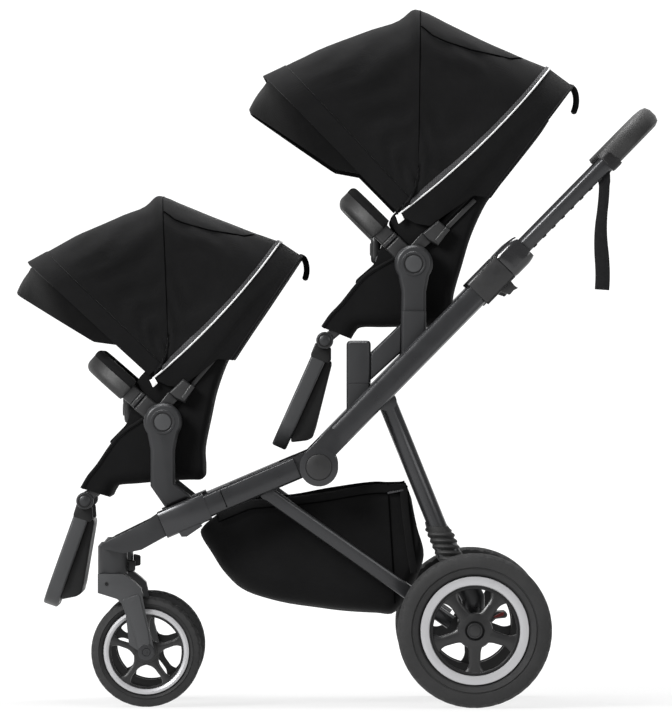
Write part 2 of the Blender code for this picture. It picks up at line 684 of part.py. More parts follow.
def front_wheel(label, side):
    y = side * CASTER_Y
    tread = tyre("front_tyre_" + label, FRONT_WHEEL, y, FRONT_RADIUS, FRONT_RIM_RADIUS + FIT_GAP,
                 FRONT_HALF_WIDTH)
    bore = FORK_PIN_RADIUS + PIN_GAP
    half = FRONT_HALF_WIDTH + 0.0016
    hub_profile = ([(bore, half), (bore, -half), (0.012, -half), (0.014, -half * 0.8)],
                   [(0.014, half * 0.8), (0.012, half)])
    disc = rim("front_rim_" + label, FRONT_WHEEL, y, side, FRONT_RIM_RADIUS, FRONT_OPENING, FRONT_HALF_WIDTH,
               hub_profile, 90, (-0.002, 0.008))
    for obj in (tread, disc):
        set_origin(obj, FRONT_WHEEL.x, y, FRONT_WHEEL.y)


def rear_leg(label, side):
    y = side * LEG_Y
    boot_end = BOOT_AT + BOOT_LENGTH / 2 + FIT_GAP
    wide_start = LEG_TOP + LEG_DIR * (boot_end + 0.010)
    axle_top = REAR_WHEEL.y + AXLE_SIZE / 2 + FIT_GAP
    foot = Vector((REAR_WHEEL.x - 0.002, axle_top))
    leg = sweep("rear_leg_" + label, [(LEG_TOP.x, y, LEG_TOP.y), (wide_start.x, y, wide_start.y)],
                (0, 1, 0), circle_section(LEG_RADIUS, 16), "frame_metal")
    wide = LEG_TOP + LEG_DIR * (boot_end - FIT_GAP + 0.001)
    elbow = wide + LEG_DIR * 0.020
    lower = sweep("lower", [(wide.x, y, wide.y), (elbow.x, y, elbow.y), (foot.x, y, axle_top + 0.034),
                            (foot.x, y, foot.y)],
                  (0, 1, 0), round_section(2 * LEG_RADIUS, 2 * LOWER_LEG_RADIUS, 0.010), "frame_metal")
    eye = side_rod("eye", LEG_RADIUS + 0.001, LEG_TOP, side, LEG_Y - LEG_RADIUS + 0.002,
                   TUBE_INNER_Y - FIT_GAP, 20, "frame_metal")
    combine(leg, [lower, eye], "UNION")
    return set_origin(leg, LEG_TOP.x, y, LEG_TOP.y)


def suspension_boot(label, side):
    """A ribbed rubber sleeve on the leg."""
    bore = LEG_RADIUS / math.cos(math.pi / BOOT_FACETS) + FIT_GAP
    start = BOOT_AT - BOOT_LENGTH / 2
    step = BOOT_LENGTH / BOOT_RIBS
    profile = [(bore, start)]
    for rib in range(BOOT_RIBS):
        low = start + rib * step
        swell = BOOT_RADIUS - 0.0008 * (BOOT_RIBS - 1 - rib)
        profile += [(swell - 0.003, low), (swell, low + step * 0.3), (swell, low + step * 0.8)]
    profile += [(BOOT_RADIUS - 0.003, start + BOOT_LENGTH), (bore, start + BOOT_LENGTH)]
    return turned("suspension_boot_" + label, profile, (LEG_TOP.x, side * LEG_Y, LEG_TOP.y),
                  (LEG_DIR.x, 0, LEG_DIR.y), BOOT_FACETS, "boot_rubber", closed=True)


def rear_axle():
    half = LEG_Y + LEG_RADIUS
    beam = sweep("rear_axle", [(REAR_WHEEL.x, -half, REAR_WHEEL.y), (REAR_WHEEL.x, half, REAR_WHEEL.y)],
                 (0, 0, 1), round_section(AXLE_SIZE, AXLE_SIZE, 0.008), "frame_metal")
    reach = REAR_WHEEL_Y + 0.010
    pin = rod("pin", AXLE_PIN_RADIUS, REAR_WHEEL.x, REAR_WHEEL.y, -reach, reach, 16, "frame_metal")
    inner_face = REAR_WHEEL_Y - REAR_HALF_WIDTH * 0.72 - PIN_GAP
    collars = [side_rod("collar", 0.012, REAR_WHEEL, side, half - 0.002, inner_face, 20, "frame_metal")
               for side in SIDES.values()]
    return combine(beam, [pin, *collars], "UNION")


def brake_pedal():
    behind = REAR_WHEEL + Vector((AXLE_SIZE / 2 + PIN_GAP, 0))
    outline = [behind + Vector(p) for p in PEDAL_OUTLINE]
    pedal = prism("brake_pedal", outline, -PEDAL_HALF_WIDTH, PEDAL_HALF_WIDTH, "dark_plastic")
    set_origin(pedal, REAR_WHEEL.x, 0, REAR_WHEEL.y)
    return soften(pedal, 0.002)


def brace(label, side):
    y = side * BRACE_Y
    bar = sweep("brace_" + label, [(BRACE_TOP.x, y, BRACE_TOP.y), (BRACE_END.x, y, BRACE_END.y)], (0, 1, 0),
                round_section(BRACE_WIDTH, BRACE_HEIGHT, 0.005), "frame_metal")
    eye = side_rod("eye", BRACE_HEIGHT / 2, BRACE_TOP, side, BRACE_Y - BRACE_WIDTH / 2,
                   TUBE_INNER_Y - FIT_GAP, 20, "frame_metal")
    combine(bar, [eye], "UNION")
    return set_origin(bar, BRACE_TOP.x, y, BRACE_TOP.y)


def inset(outline, amount):
    """Draws an outline in by the same amount all round."""
    points = [Vector(p) for p in outline]
    area = sum(a.x * b.y - b.x * a.y for a, b in zip(points, points[1:] + points[:1]))
    way = 1 if area > 0 else -1
    out = []
    for before, at, after in zip(points[-1:] + points[:-1], points, points[1:] + points[:1]):
        one, two = (at - before).normalized(), (after - at).normalized()
        first, second = Vector((-one.y, one.x)) * way, Vector((-two.y, two.x)) * way
        middle = (first + second).normalized()
        out.append(at + middle * (amount / max(middle.dot(first), 0.4)))
    return out


def basket():
    tub = prism("basket", BASKET_OUTLINE, -BASKET_Y, BASKET_Y, "fabric")
    inner = inset(BASKET_OUTLINE, BASKET_WALL)
    raised = [Vector((p.x, p.y + (0.08 if i < BASKET_HEM_POINTS else 0.0))) for i, p in enumerate(inner)]
    cavity = prism("cavity", raised, -BASKET_Y + BASKET_WALL, BASKET_Y - BASKET_WALL, "fabric")
    combine(tub, [cavity], "DIFFERENCE")
    inside, outside = BASKET_Y - BASKET_WALL / 2, TUBE_INNER_Y - FIT_GAP
    loops = [side_prism("loop", BASKET_LOOP, side, inside, outside, "fabric") for side in SIDES.values()]
    return combine(tub, loops, "UNION")


def seat_point(seat, point):
    """A point of the seat's own outline, in the side view."""
    moved = seat["hub"] + turn(Vector(point) * seat["scale"], seat["tilt"])
    return Vector((moved.x, moved.y))


def seat_outline(seat, points):
    return [seat_point(seat, p) for p in points]


def seat_shell(prefix, seat):
    tub = prism(prefix + "_seat_shell", seat_outline(seat, SHELL_OUTLINE), -SHELL_Y, SHELL_Y, "fabric")
    inner = SHELL_Y - SHELL_WALL
    cavity = prism("cavity", seat_outline(seat, CAVITY_OUTLINE), -inner, inner, "fabric")
    combine(tub, [cavity], "DIFFERENCE")
    return set_origin(tub, seat["hub"].x, 0, seat["hub"].y)


def seat_frame(prefix, seat):
    hub, tube_y = seat["hub"], SHELL_Y + FIT_GAP + SEAT_TUBE_RADIUS
    kink, top = seat_point(seat, SEAT_BACK_KINK), seat_point(seat, SEAT_BACK_TOP)
    path = [(hub.x, -tube_y, hub.y), (kink.x, -tube_y, kink.y), (top.x, -tube_y, top.y)]
    frame = sweep(prefix + "_seat_frame", path, (0, 1, 0), circle_section(SEAT_TUBE_RADIUS, 8), "frame_metal")
    far = [(x, -y, z) for x, y, z in path]
    tools = [sweep("far", far, (0, 1, 0), circle_section(SEAT_TUBE_RADIUS, 8), "frame_metal"),
             rod("top", SEAT_TUBE_RADIUS * 1.08, top.x, top.y, -tube_y - 0.007, tube_y + 0.007, 8,
                 "frame_metal")]
    pivot, hinge = hub + seat["pivot"], seat_point(seat, FOOTREST_HINGE)
    angle = math.radians(seat["bumper_angle"])
    out = Vector((math.cos(angle), math.sin(angle)))
    half = BUMPER_HEIGHT / 2 - 0.001
    socket = [beside(hub, out, a, b)
              for a, b in ((0, -half), (BUMPER_START, -half), (BUMPER_START, half), (0, half))]
    reach = pivot - hub
    to_pivot = [beside(hub, reach.normalized(), a, b)
                for a, b in ((0, -0.010), (reach.length, -0.009), (reach.length, 0.009), (0, 0.010))]
    down = hinge - hub
    to_hinge = [beside(hub, down.normalized(), a, b)
                for a, b in ((0, -0.010), (down.length, -0.009), (down.length, 0.009), (0, 0.010))]
    inner, thin = SHELL_Y + FIT_GAP, CANOPY_ARM_Y - 0.0006
    for side in SIDES.values():
        tools += [side_rod("plate", SEAT_HUB_RADIUS - 0.001, hub, side, inner, HUB_PLATE_Y, 20,
                           "frame_metal"),
                  side_prism("socket", socket, side, BUMPER_Y - 0.0125, BUMPER_Y + 0.0125, "frame_metal"),
                  side_prism("arm", to_pivot, side, inner, thin, "frame_metal"),
                  side_rod("boss", PIVOT_RADIUS, pivot, side, inner, thin, 12, "frame_metal"),
                  side_prism("rail", to_hinge, side, inner, inner + 0.0150, "frame_metal"),
                  side_rod("knuckle", FOOTREST_BOSS, hinge, side, FOOTREST_Y + 0.0165, inner + 0.0150, 14,
                           "frame_metal")]
    combine(frame, tools, "UNION")
    return set_origin(frame, hub.x, 0, hub.y)


def rear_foot(hub):
    """The foot that stands on the seat mount."""
    return [(MOUNT_LEFT, MOUNT_TOP + FIT_GAP), (MOUNT_LEFT + MOUNT_WIDTH, MOUNT_TOP + FIT_GAP)]


def front_foot(hub):
    """The foot that stands on the front tube's sloping shelf."""
    lift = HOUSING_HEIGHT / 2 + FIT_GAP
    rest = []
    for x in FRONT_FOOT_SPAN:
        along = (hub.x + x - FRONT_POINT.x - lift * FRONT_DIR.y) / FRONT_DIR.x
        rest.append(beside(FRONT_POINT, FRONT_DIR, along, -lift))
    return [hub + Vector((-LEG_WAIST, FRONT_KNEE[0])), *rest, hub + Vector((LEG_WAIST, FRONT_KNEE[1]))]


def seat_leg(prefix, label, seat, side):
    hub = seat["hub"]
    foot = rear_foot(hub) if prefix == "rear" else front_foot(hub)
    arc = [hub + turn((SEAT_HUB_RADIUS, 0), a) for a in range(-30, 211, 20)]
    outline = [*arc, hub + Vector((-LEG_WAIST, -0.040)), *foot, hub + Vector((LEG_WAIST, -0.040))]
    inner, outer = LEG_PLATE_Y, LEG_PLATE_Y + LEG_PLATE_WIDTH
    leg = side_prism(prefix + "_seat_leg_" + label, outline, side, inner, outer, "frame_metal")
    pocket = side_rod("pocket", BUTTON_RADIUS + PIN_GAP, hub, side,
                      outer - BUTTON_DEPTH - BUTTON_TRAVEL - SLIDE_GAP, outer + 0.01, 24, "frame_metal")
    return combine(leg, [pocket], "DIFFERENCE")


def hub_button(prefix, label, seat, side):
    outer = LEG_PLATE_Y + LEG_PLATE_WIDTH
    button = side_rod(prefix + "_hub_button_" + label, BUTTON_RADIUS, seat["hub"], side, outer - BUTTON_DEPTH,
                      outer + BUTTON_PROUD, 24, "dark_plastic")
    return set_origin(button, seat["hub"].x, side * outer, seat["hub"].y)


def bumper_bar(prefix, seat):
    hub = seat["hub"]
    angle = math.radians(seat["bumper_angle"])
    out = Vector((math.cos(angle), 0, math.sin(angle)))
    base = Vector((hub.x, 0, hub.y))
    start, end = base + out * (BUMPER_START + FIT_GAP), base + out * seat["bumper_reach"]
    across = Vector((0, BUMPER_Y, 0))
    bend = seat["bumper_reach"] - BUMPER_START - BUMPER_STRAIGHT
    path = fillet([start - across, end - across, end + across, start + across], bend, 5)
    normal = (-out.z, 0, out.x)
    bar = sweep(prefix + "_bumper_bar", path, normal,
                swap(round_section(BUMPER_WIDTH, BUMPER_HEIGHT, 0.009)), "grip_leather")
    return set_origin(bar, *start)


def footrest(prefix, seat):
    hinge = seat_point(seat, FOOTREST_HINGE)
    outline = [hinge + turn(Vector(p) * seat["scale"], seat["tilt"]) for p in FOOTREST_OUTLINE]
    board = prism(prefix + "_footrest", outline, -FOOTREST_Y, FOOTREST_Y, "dark_plastic")
    inside, outside = FOOTREST_Y - 0.002, FOOTREST_Y + 0.0160
    lugs = [side_rod("lug", FOOTREST_BOSS, hinge, side, inside, outside, 14, "dark_plastic")
            for side in SIDES.values()]
    combine(board, lugs, "UNION")
    return set_origin(board, hinge.x, 0, hinge.y)


def bow_curve(radius, start, half_width, corner, steps=3):
    """Half outline of a bow, mirrored: (radius, y) points over the child from side to side."""
    top = half_width + CANOPY_FLARE
    points = [(start, half_width), ((start + radius) / 2, (half_width + top) / 2)]
    for i in range(steps + 1):
        angle = math.radians(90 * i / steps)
        points.append((radius - corner + corner * math.sin(angle), top - corner + corner * math.cos(angle)))
    return [(r, -y) for r, y in points] + [(r, y) for r, y in reversed(points)]


def canopy_sheet(name, seat, bows, wall):
    """Fabric stretched from bow to bow. Each bow is (angle, radius, start radius)."""
    pivot, size = seat["hub"] + seat["pivot"], seat["canopy"]
    layers = []
    for inward in (0.0, wall):
        rows = []
        for degrees, radius, start in bows:
            angle = math.radians(degrees + seat["canopy_turn"])
            curve = bow_curve(radius * size - inward, start * size, HOOD_Y - inward, CANOPY_CORNER)
            rows.append([(pivot.x + r * math.cos(angle), y, pivot.y + r * math.sin(angle)) for r, y in curve])
        layers.append(rows)
    rows_count, count = len(bows), len(layers[0][0])
    verts = [p for rows in layers for row in rows for p in row]

    def at(layer, row, i):
        return (layer * rows_count + row) * count + i

    faces = []
    for row in range(rows_count - 1):
        for i in range(count - 1):
            for layer in (0, 1):
                faces.append([at(layer, row, i), at(layer, row, i + 1), at(layer, row + 1, i + 1),
                              at(layer, row + 1, i)])
        for i in (0, count - 1):
            faces.append([at(0, row, i), at(0, row + 1, i), at(1, row + 1, i), at(1, row, i)])
    for i in range(count - 1):
        for row in (0, rows_count - 1):
            faces.append([at(0, row, i), at(0, row, i + 1), at(1, row, i + 1), at(1, row, i)])
    return new_object(name, verts, faces, "fabric")


def between(first, last, sag, steps):
    """A bow and the sagging fabric from it to the next one."""
    out = []
    for i in range(steps):
        t = i / steps
        ease = 4 * t * (1 - t)
        radius = first[1] + (last[1] - first[1]) * t - sag * ease
        out.append((first[0] + (last[0] - first[0]) * t, radius, CANOPY_START))
    return out


def canopy_hood(prefix, seat):
    front = (CANOPY_FRONT_BOW[0] - CANOPY_SEAM_GAP, CANOPY_FRONT_BOW[1])
    bows = [(*CANOPY_BACK, 0.200)]
    bows += between(CANOPY_REAR_BOW, CANOPY_MID_BOW, CANOPY_REAR_SAG, 3)
    bows += between(CANOPY_MID_BOW, front, CANOPY_FRONT_SAG, 3)
    bows.append((*front, CANOPY_START))
    hood = canopy_sheet(prefix + "_canopy_hood", seat, bows, HOOD_WALL)
    at = seat["hub"] + seat["pivot"]
    return set_origin(hood, at.x, 0, at.y)


def canopy_front(prefix, seat):
    """The front bow with the visor sewn to it."""
    size, pivot = seat["canopy"], seat["hub"] + seat["pivot"]
    first = (CANOPY_FRONT_BOW[0] + CANOPY_SEAM_GAP, CANOPY_FRONT_BOW[1], CANOPY_START + 0.002)
    last = (*CANOPY_VISOR_EDGE, 0.110)
    middle = ((first[0] + last[0]) / 2, (first[1] + last[1]) / 2 - 0.002, 0.045)
    visor = canopy_sheet(prefix + "_canopy_front", seat, [first, middle, last], HOOD_WALL)
    angle = math.radians(CANOPY_FRONT_BOW[0] + seat["canopy_turn"] + 1.2)
    out = Vector((math.cos(angle), 0, math.sin(angle)))
    base, reach = Vector((pivot.x, 0, pivot.y)), CANOPY_FRONT_BOW[1] * size - HOOD_WALL + 0.001
    arm_y = CANOPY_ARM_Y + CANOPY_ARM_WIDTH / 2
    top_y = HOOD_Y + CANOPY_FLARE - HOOD_WALL - CANOPY_ARM_WIDTH / 2 + 0.001
    corners = [base - Vector((0, arm_y, 0)), base + out * 0.10 - Vector((0, arm_y, 0)),
               base + out * reach - Vector((0, top_y, 0)), base + out * reach + Vector((0, top_y, 0)),
               base + out * 0.10 + Vector((0, arm_y, 0)), base + Vector((0, arm_y, 0))]
    path = [corners[0], *fillet(corners[1:5], CANOPY_CORNER - HOOD_WALL, 3), corners[5]]
    half, deep = CANOPY_ARM_WIDTH / 2, CANOPY_ARM_DEPTH / 2
    section = [(-deep, -half), (-deep, half), (deep, half), (deep, -half)]
    wire = sweep("wire", path, (-out.z, 0, out.x), section, "frame_metal")
    eyes = [side_rod("eye", PIVOT_RADIUS - 0.001, pivot, side, CANOPY_ARM_Y,
                     CANOPY_ARM_Y + CANOPY_ARM_WIDTH, 12, "frame_metal") for side in SIDES.values()]
    combine(visor, [wire, *eyes], "UNION")
    return set_origin(visor, pivot.x, 0, pivot.y)


def build_seat(prefix):
    seat = SEATS[prefix]
    seat_shell(prefix, seat)
    seat_frame(prefix, seat)
    canopy_hood(prefix, seat)
    canopy_front(prefix, seat)
    bumper_bar(prefix, seat)
    footrest(prefix, seat)
    for label, side in SIDES.items():
        seat_leg(prefix, label, seat, side)
        hub_button(prefix, label, seat, side)


def build():
    clear_scene()
    for label, side in SIDES.items():
        upper_tube(label, side)
        height_collar(label, side)
        fold_slider(label, side)
        seat_mount(label, side)
        front_tube(label, side)
        front_leg(label, side)
        caster_fork(label, side)
        caster_lock(label, side)
        front_wheel(label, side)
        rear_wheel(label, side)
        rear_leg(label, side)
        suspension_boot(label, side)
        brace(label, side)
    front_cross_tube()
    rear_axle()
    brake_pedal()
    handlebar()
    handle_grip()
    wrist_strap()
    basket()
    for prefix in SEATS:
        build_seat(prefix)


build()
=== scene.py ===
import json
import math
from contextlib import contextmanager

import bmesh
import bpy
import numpy as np
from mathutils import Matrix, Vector, noise

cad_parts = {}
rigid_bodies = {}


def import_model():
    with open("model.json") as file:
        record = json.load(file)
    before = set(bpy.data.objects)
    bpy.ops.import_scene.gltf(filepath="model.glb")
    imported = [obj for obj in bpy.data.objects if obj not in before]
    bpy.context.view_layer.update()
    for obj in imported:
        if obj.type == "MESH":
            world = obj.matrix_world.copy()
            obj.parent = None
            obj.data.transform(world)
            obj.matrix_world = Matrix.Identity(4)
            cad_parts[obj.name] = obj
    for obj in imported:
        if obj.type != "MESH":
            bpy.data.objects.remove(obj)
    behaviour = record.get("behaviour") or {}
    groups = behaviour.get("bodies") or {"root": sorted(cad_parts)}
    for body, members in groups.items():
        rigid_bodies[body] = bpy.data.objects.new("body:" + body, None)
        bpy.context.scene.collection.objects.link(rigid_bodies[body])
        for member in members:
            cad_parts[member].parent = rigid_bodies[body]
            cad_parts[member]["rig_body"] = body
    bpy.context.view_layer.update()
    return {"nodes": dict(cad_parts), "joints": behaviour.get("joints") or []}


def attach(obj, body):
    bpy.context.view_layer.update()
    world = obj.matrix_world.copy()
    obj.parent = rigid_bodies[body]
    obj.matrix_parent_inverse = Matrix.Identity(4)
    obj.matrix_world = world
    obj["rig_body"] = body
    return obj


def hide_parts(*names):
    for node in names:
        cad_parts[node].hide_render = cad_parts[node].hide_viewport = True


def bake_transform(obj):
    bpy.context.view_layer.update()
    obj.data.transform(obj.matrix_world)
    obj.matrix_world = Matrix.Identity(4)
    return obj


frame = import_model()

NODES = frame["nodes"]
JOINT = {joint["name"]: joint for joint in frame["joints"]}
SIDES = {"left": -1, "right": 1}
ACROSS = Vector((0, 1, 0))


# Places

def joint_at(name):
    return Vector(JOINT[name]["pos_m"])


SEATS = {
    "rear": {"scale": 1.0, "tilt": 0.0, "canopy": 1.0, "turn": 0.0, "bumper_angle": 135.0, "bumper_reach": 0.143},
    "front": {"scale": 0.95, "tilt": 4.5, "canopy": 0.885, "turn": 3.0, "bumper_angle": 138.5,
              "bumper_reach": 0.140},
}
for prefix, seat in SEATS.items():
    seat["hub"] = joint_at(prefix + "_seat_recline")
    seat["pivot"] = joint_at(prefix + "_canopy_fold")
    seat["hinge"] = joint_at(prefix + "_footrest_tilt")
    seat["cloth"] = math.sqrt(seat["canopy"] * seat["scale"])


def placed(origin, point, scale, degrees, y):
    """A point of a side view of its own, scaled and turned about an origin, at a distance y from the middle."""
    a = math.radians(degrees)
    x, z = point[0] * scale, point[1] * scale
    return Vector((origin.x + x * math.cos(a) - z * math.sin(a), y, origin.z + x * math.sin(a) + z * math.cos(a)))


def seat_at(seat, point, y=0.0):
    """A point of the seat's side view, measured from its hub."""
    return placed(seat["hub"], point, seat["scale"], seat["tilt"], y)


def canopy_at(seat, point, y=0.0):
    """A point of the canopy's side view, measured from its pivot."""
    return placed(seat["pivot"], point, seat["canopy"], seat["turn"], y)


def heading(degrees):
    """A direction of the side view by its angle from +X, and the direction a quarter turn on."""
    a = math.radians(degrees)
    return Vector((math.cos(a), 0, math.sin(a))), Vector((-math.sin(a), 0, math.cos(a)))


def corners(origin, way, lift, points):
    return [origin + way * a + lift * b for a, b in points]


def bar(origin, way, lift, start, end, half, end_half=None):
    """The outline of a straight bar along a direction, as wide at its end as at its start or tapered."""
    far = half if end_half is None else end_half
    return corners(origin, way, lift, ((start, -half), (end, -far), (end, far), (start, half)))


def side_view(points):
    """Points as (x, z), whether they are given so or in space."""
    return [(p[0], p[-1]) for p in points]


def span(low, high, count):
    return [low + (high - low) * i / count for i in range(count + 1)]


def along(points, at):
    """A point of a polyline given as (parameter, x, z), at a parameter."""
    marks = [p[0] for p in points]
    return tuple(float(np.interp(at, marks, [p[k] for p in points])) for k in (1, 2))


def curve(points, steps=6):
    """A smooth curve through points."""
    points = [Vector(p) for p in points]
    points = [points[0] * 2 - points[1], *points, points[-1] * 2 - points[-2]]
    out = []
    for a, b, c, d in zip(points, points[1:], points[2:], points[3:]):
        for k in range(steps):
            t = k / steps
            out.append(((b * 2) + (c - a) * t + (a * 2 - b * 5 + c * 4 - d) * t ** 2
                        + (b * 3 - a - c * 3 + d) * t ** 3) / 2)
    return [*out, points[-2]]


def filleted(points, radius, steps=8):
    """A polyline with its inner corners rounded."""
    points = [Vector(p) for p in points]
    out = [points[0]]
    for before, corner, after in zip(points, points[1:], points[2:]):
        a, b = (before - corner).normalized(), (after - corner).normalized()
        half = a.angle(b) / 2
        reach = min(radius / math.tan(half), (before - corner).length * 0.98, (after - corner).length * 0.98)
        size = reach * math.tan(half)
        centre = corner + (a + b).normalized() * (size / math.sin(half))
        first, last = corner + a * reach - centre, corner + b * reach - centre
        out += [centre + first.slerp(last, i / steps) * size for i in range(steps + 1)]
    return [*out, points[-1]]


# Finishes

def node(tree, kind, out, inputs, **settings):
    """Adds a shader node and gives one of its outputs."""
    made = tree.nodes.new("ShaderNode" + kind)
    for name, value in settings.items():
        setattr(made, name, value)
    feed(tree, made, inputs)
    return made.outputs[out]


def feed(tree, made, inputs):
    """Sets each input of a node to a value, or links it to the output that is given for it."""
    for socket, value in inputs.items():
        if isinstance(value, bpy.types.NodeSocket):
            tree.links.new(value, made.inputs[socket])
        else:
            made.inputs[socket].default_value = value


def principled(name):
    made = bpy.data.materials.new(name)
    made.use_nodes = True
    return made, made.node_tree, made.node_tree.nodes["Principled BSDF"]


def cloudy(tree, where, scale, detail=3.0):
    return node(tree, "TexNoise", "Fac", {"Scale": scale, "Detail": detail, "Vector": where})


def woven(tree, where, period):
    """Crossed threads along all three axes, so that every side of a piece shows two of them."""
    total = None
    for axis in "XYZ":
        wave = node(tree, "TexWave", "Fac", {"Scale": math.pi / (10 * period), "Distortion": 0.4, "Vector": where},
                    bands_direction=axis)
        total = wave if total is None else node(tree, "Math", "Value", {0: total, 1: wave}, operation="ADD")
    return total


def ranged(tree, value, low, high, start=0.3, end=0.7):
    return node(tree, "MapRange", "Result", {"From Min": start, "From Max": end, "To Min": low, "To Max": high,
                                             "Value": value})


def mixed(tree, colour, spread, share):
    """A colour that varies to either side by a share of itself."""
    low, high = ((*(c * tone for c in colour), 1) for tone in (1 - spread, 1 + spread))
    return node(tree, "Mix", 2, {6: low, 7: high, 0: share}, data_type="RGBA")


def finish(name, slot, colour, rough, metal=0.0, specular=0.5, mottle=0.10, mottle_scale=18.0,
           grain=None, weave=None, sheen=0.0, coat=0.0):
    """A finish whose tone and roughness vary. Grain and weave are each a size and a depth of relief."""
    made, tree, shader = principled(name)
    where = tree.nodes.new("ShaderNodeTexCoord").outputs["Object"]
    inputs = {
        "Metallic": metal, "Specular IOR Level": specular, "Sheen Weight": sheen, "Sheen Roughness": 0.45,
        "Coat Weight": coat, "Coat Roughness": 0.15,
        "Base Color": mixed(tree, colour, mottle, ranged(tree, cloudy(tree, where, mottle_scale), 0.0, 1.0)),
        "Roughness": ranged(tree, cloudy(tree, where, mottle_scale * 6, 5.0), rough - 0.05, rough + 0.05)}
    reliefs = []
    if grain:
        reliefs.append((cloudy(tree, where, 1 / grain[0], 6.0), grain[1]))
    if weave:
        reliefs.append((woven(tree, where, weave[0]), weave[1]))
    for height, depth in reliefs:
        below = {"Normal": inputs["Normal"]} if "Normal" in inputs else {}
        inputs["Normal"] = node(tree, "Bump", "Normal", {"Distance": depth, "Height": height, **below})
    feed(tree, shader, inputs)
    made["slot"] = slot
    return made


PAINT = {"mottle_scale": 6, "grain": (0.0006, 0.00002)}
CLOTH = {"mottle": 0.16, "mottle_scale": 9, "weave": (0.0016, 0.00009)}
FINISH = {
    "paint": finish("satin_paint", "frame_metal", (0.036, 0.0365, 0.0385), 0.31, 0.60, mottle=0.06, coat=0.15,
                    **PAINT),
    "seat_paint": finish("seat_leg_paint", "frame_metal", (0.027, 0.0275, 0.029), 0.40, 0.45, mottle=0.05, **PAINT),
    "light_paint": finish("footrest_paint", "frame_metal", (0.050, 0.051, 0.053), 0.42, 0.35, mottle=0.05, **PAINT),
    "plastic": finish("moulded_plastic", "dark_plastic", (0.012, 0.012, 0.0125), 0.40, grain=(0.0005, 0.00003)),
    "gloss": finish("gloss_plastic", "dark_plastic", (0.012, 0.012, 0.013), 0.18, mottle=0.06,
                    grain=(0.002, 0.00001), coat=0.4),
    "leather": finish("grained_leather", "grip_leather", (0.012, 0.012, 0.012), 0.56, mottle=0.2,
                      mottle_scale=60, grain=(0.0011, 0.00035)),
    "fabric": finish("woven_fabric", "fabric", (0.0054, 0.0054, 0.0056), 0.90, specular=0.08, sheen=0.05, **CLOTH),
    # The visor's finish is the woven fabric darkened: painted shade under the front of the hood.
    "visor": finish("visor_painted_shade", "fabric", (0.0021, 0.0021, 0.0022), 0.90, specular=0.10, sheen=0.08, **CLOTH),
    "pad": finish("pad_fabric", "fabric", (0.0060, 0.0060, 0.0063), 0.92, specular=0.12, mottle=0.2,
                  mottle_scale=25, grain=(0.0014, 0.0002), weave=(0.0022, 0.0002), sheen=0.14),
    "rubber": finish("tyre_rubber", "tyre_rubber", (0.0155, 0.0155, 0.0158), 0.72, specular=0.4, mottle=0.15,
                     mottle_scale=30, grain=(0.0012, 0.00006)),
    "rim": finish("rim_plastic", "rim_plastic", (0.0090, 0.0090, 0.0094), 0.36, mottle=0.08,
                  grain=(0.0007, 0.00003)),
    "silver": finish("silver_ring", "rim_plastic", (0.44, 0.44, 0.45), 0.34, 0.35, mottle=0.04, mottle_scale=8,
                     grain=(0.0008, 0.00001)),
    "boot": finish("boot_rubber", "boot_rubber", (0.010, 0.010, 0.010), 0.66, mottle=0.12,
                   grain=(0.0009, 0.00006)),
    "webbing": finish("strap_webbing", "webbing", (0.006, 0.006, 0.0065), 0.8, specular=0.15, mottle=0.12,
                      weave=(0.0020, 0.0003), sheen=0.1),
    "piping": finish("reflective_piping", "fabric", (0.62, 0.62, 0.62), 0.5, mottle=0.05, grain=(0.0006, 0.00004)),
    "tape": finish("zip_tape", "fabric", (0.045, 0.045, 0.047), 0.8, specular=0.2, mottle=0.2,
                   weave=(0.0030, 0.0005), sheen=0.1),
    "seam": finish("seam_thread", "fabric", (0.0008, 0.0008, 0.0009), 0.95, specular=0.03, mottle=0.2,
                   grain=(0.0006, 0.0001)),
    # Black plastic parts, and the black rings that paint the shade of the gaps round the recline buttons and the fold
    # hub caps and in the knuckle grooves.
    "black": finish("black_plastic_and_painted_shade", "dark_plastic", (0.0035, 0.0035, 0.0037), 0.42, specular=0.35,
                    grain=(0.0006, 0.00003)),
    "label": finish("blank_tag", "fabric", (0.75, 0.75, 0.74), 0.7, mottle=0.04, weave=(0.0008, 0.00005)),
    "red": finish("red_indicator", "dark_plastic", (0.20, 0.012, 0.010), 0.4, mottle=0.08,
                  grain=(0.0008, 0.00002)),
    "steel": finish("screw_steel", "frame_metal", (0.30, 0.30, 0.31), 0.35, 0.9, mottle=0.08,
                    grain=(0.0007, 0.00002)),
}


# Meshes

def added(name, data):
    """A new object of the scene."""
    obj = bpy.data.objects.new(name, data)
    bpy.context.scene.collection.objects.link(obj)
    return obj


def dressed(obj, look, body=None, replaces=(), sharp=38):
    """Gives a piece its finish, its body and the nodes that it stands for, and smooths edges up to an angle."""
    obj.data.materials.clear()
    obj.data.materials.append(FINISH[look])
    for face in obj.data.polygons:
        face.use_smooth = True
    obj.data.set_sharp_from_angle(angle=math.radians(sharp))
    if replaces:
        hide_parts(*replaces)
    if body:
        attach(obj, body)
    return obj


def raw(name, verts, faces):
    mesh = bpy.data.meshes.new(name)
    mesh.from_pydata([tuple(v) for v in verts], [], faces)
    mesh.update()
    return added(name, mesh)


@contextmanager
def editing(obj):
    """The mesh of an object for an edit, written back after it."""
    work = bmesh.new()
    work.from_mesh(obj.data)
    yield work
    work.to_mesh(obj.data)
    work.free()


def outward(obj):
    with editing(obj) as work:
        bmesh.ops.recalc_face_normals(work, faces=work.faces)
    return obj


def lattice(rows, close_rows=False, close_ring=True, caps=True):
    """Vertices and faces of rings of points joined in order."""
    count, width = len(rows), len(rows[0])
    faces = []
    for i in range(count if close_rows else count - 1):
        j = (i + 1) % count
        for k in range(width if close_ring else width - 1):
            n = (k + 1) % width
            faces.append((i * width + k, i * width + n, j * width + n, j * width + k))
    if caps and close_ring and not close_rows:
        faces.append(tuple(reversed(range(width))))
        faces.append(tuple(range((count - 1) * width, count * width)))
    return [v for row in rows for v in row], faces


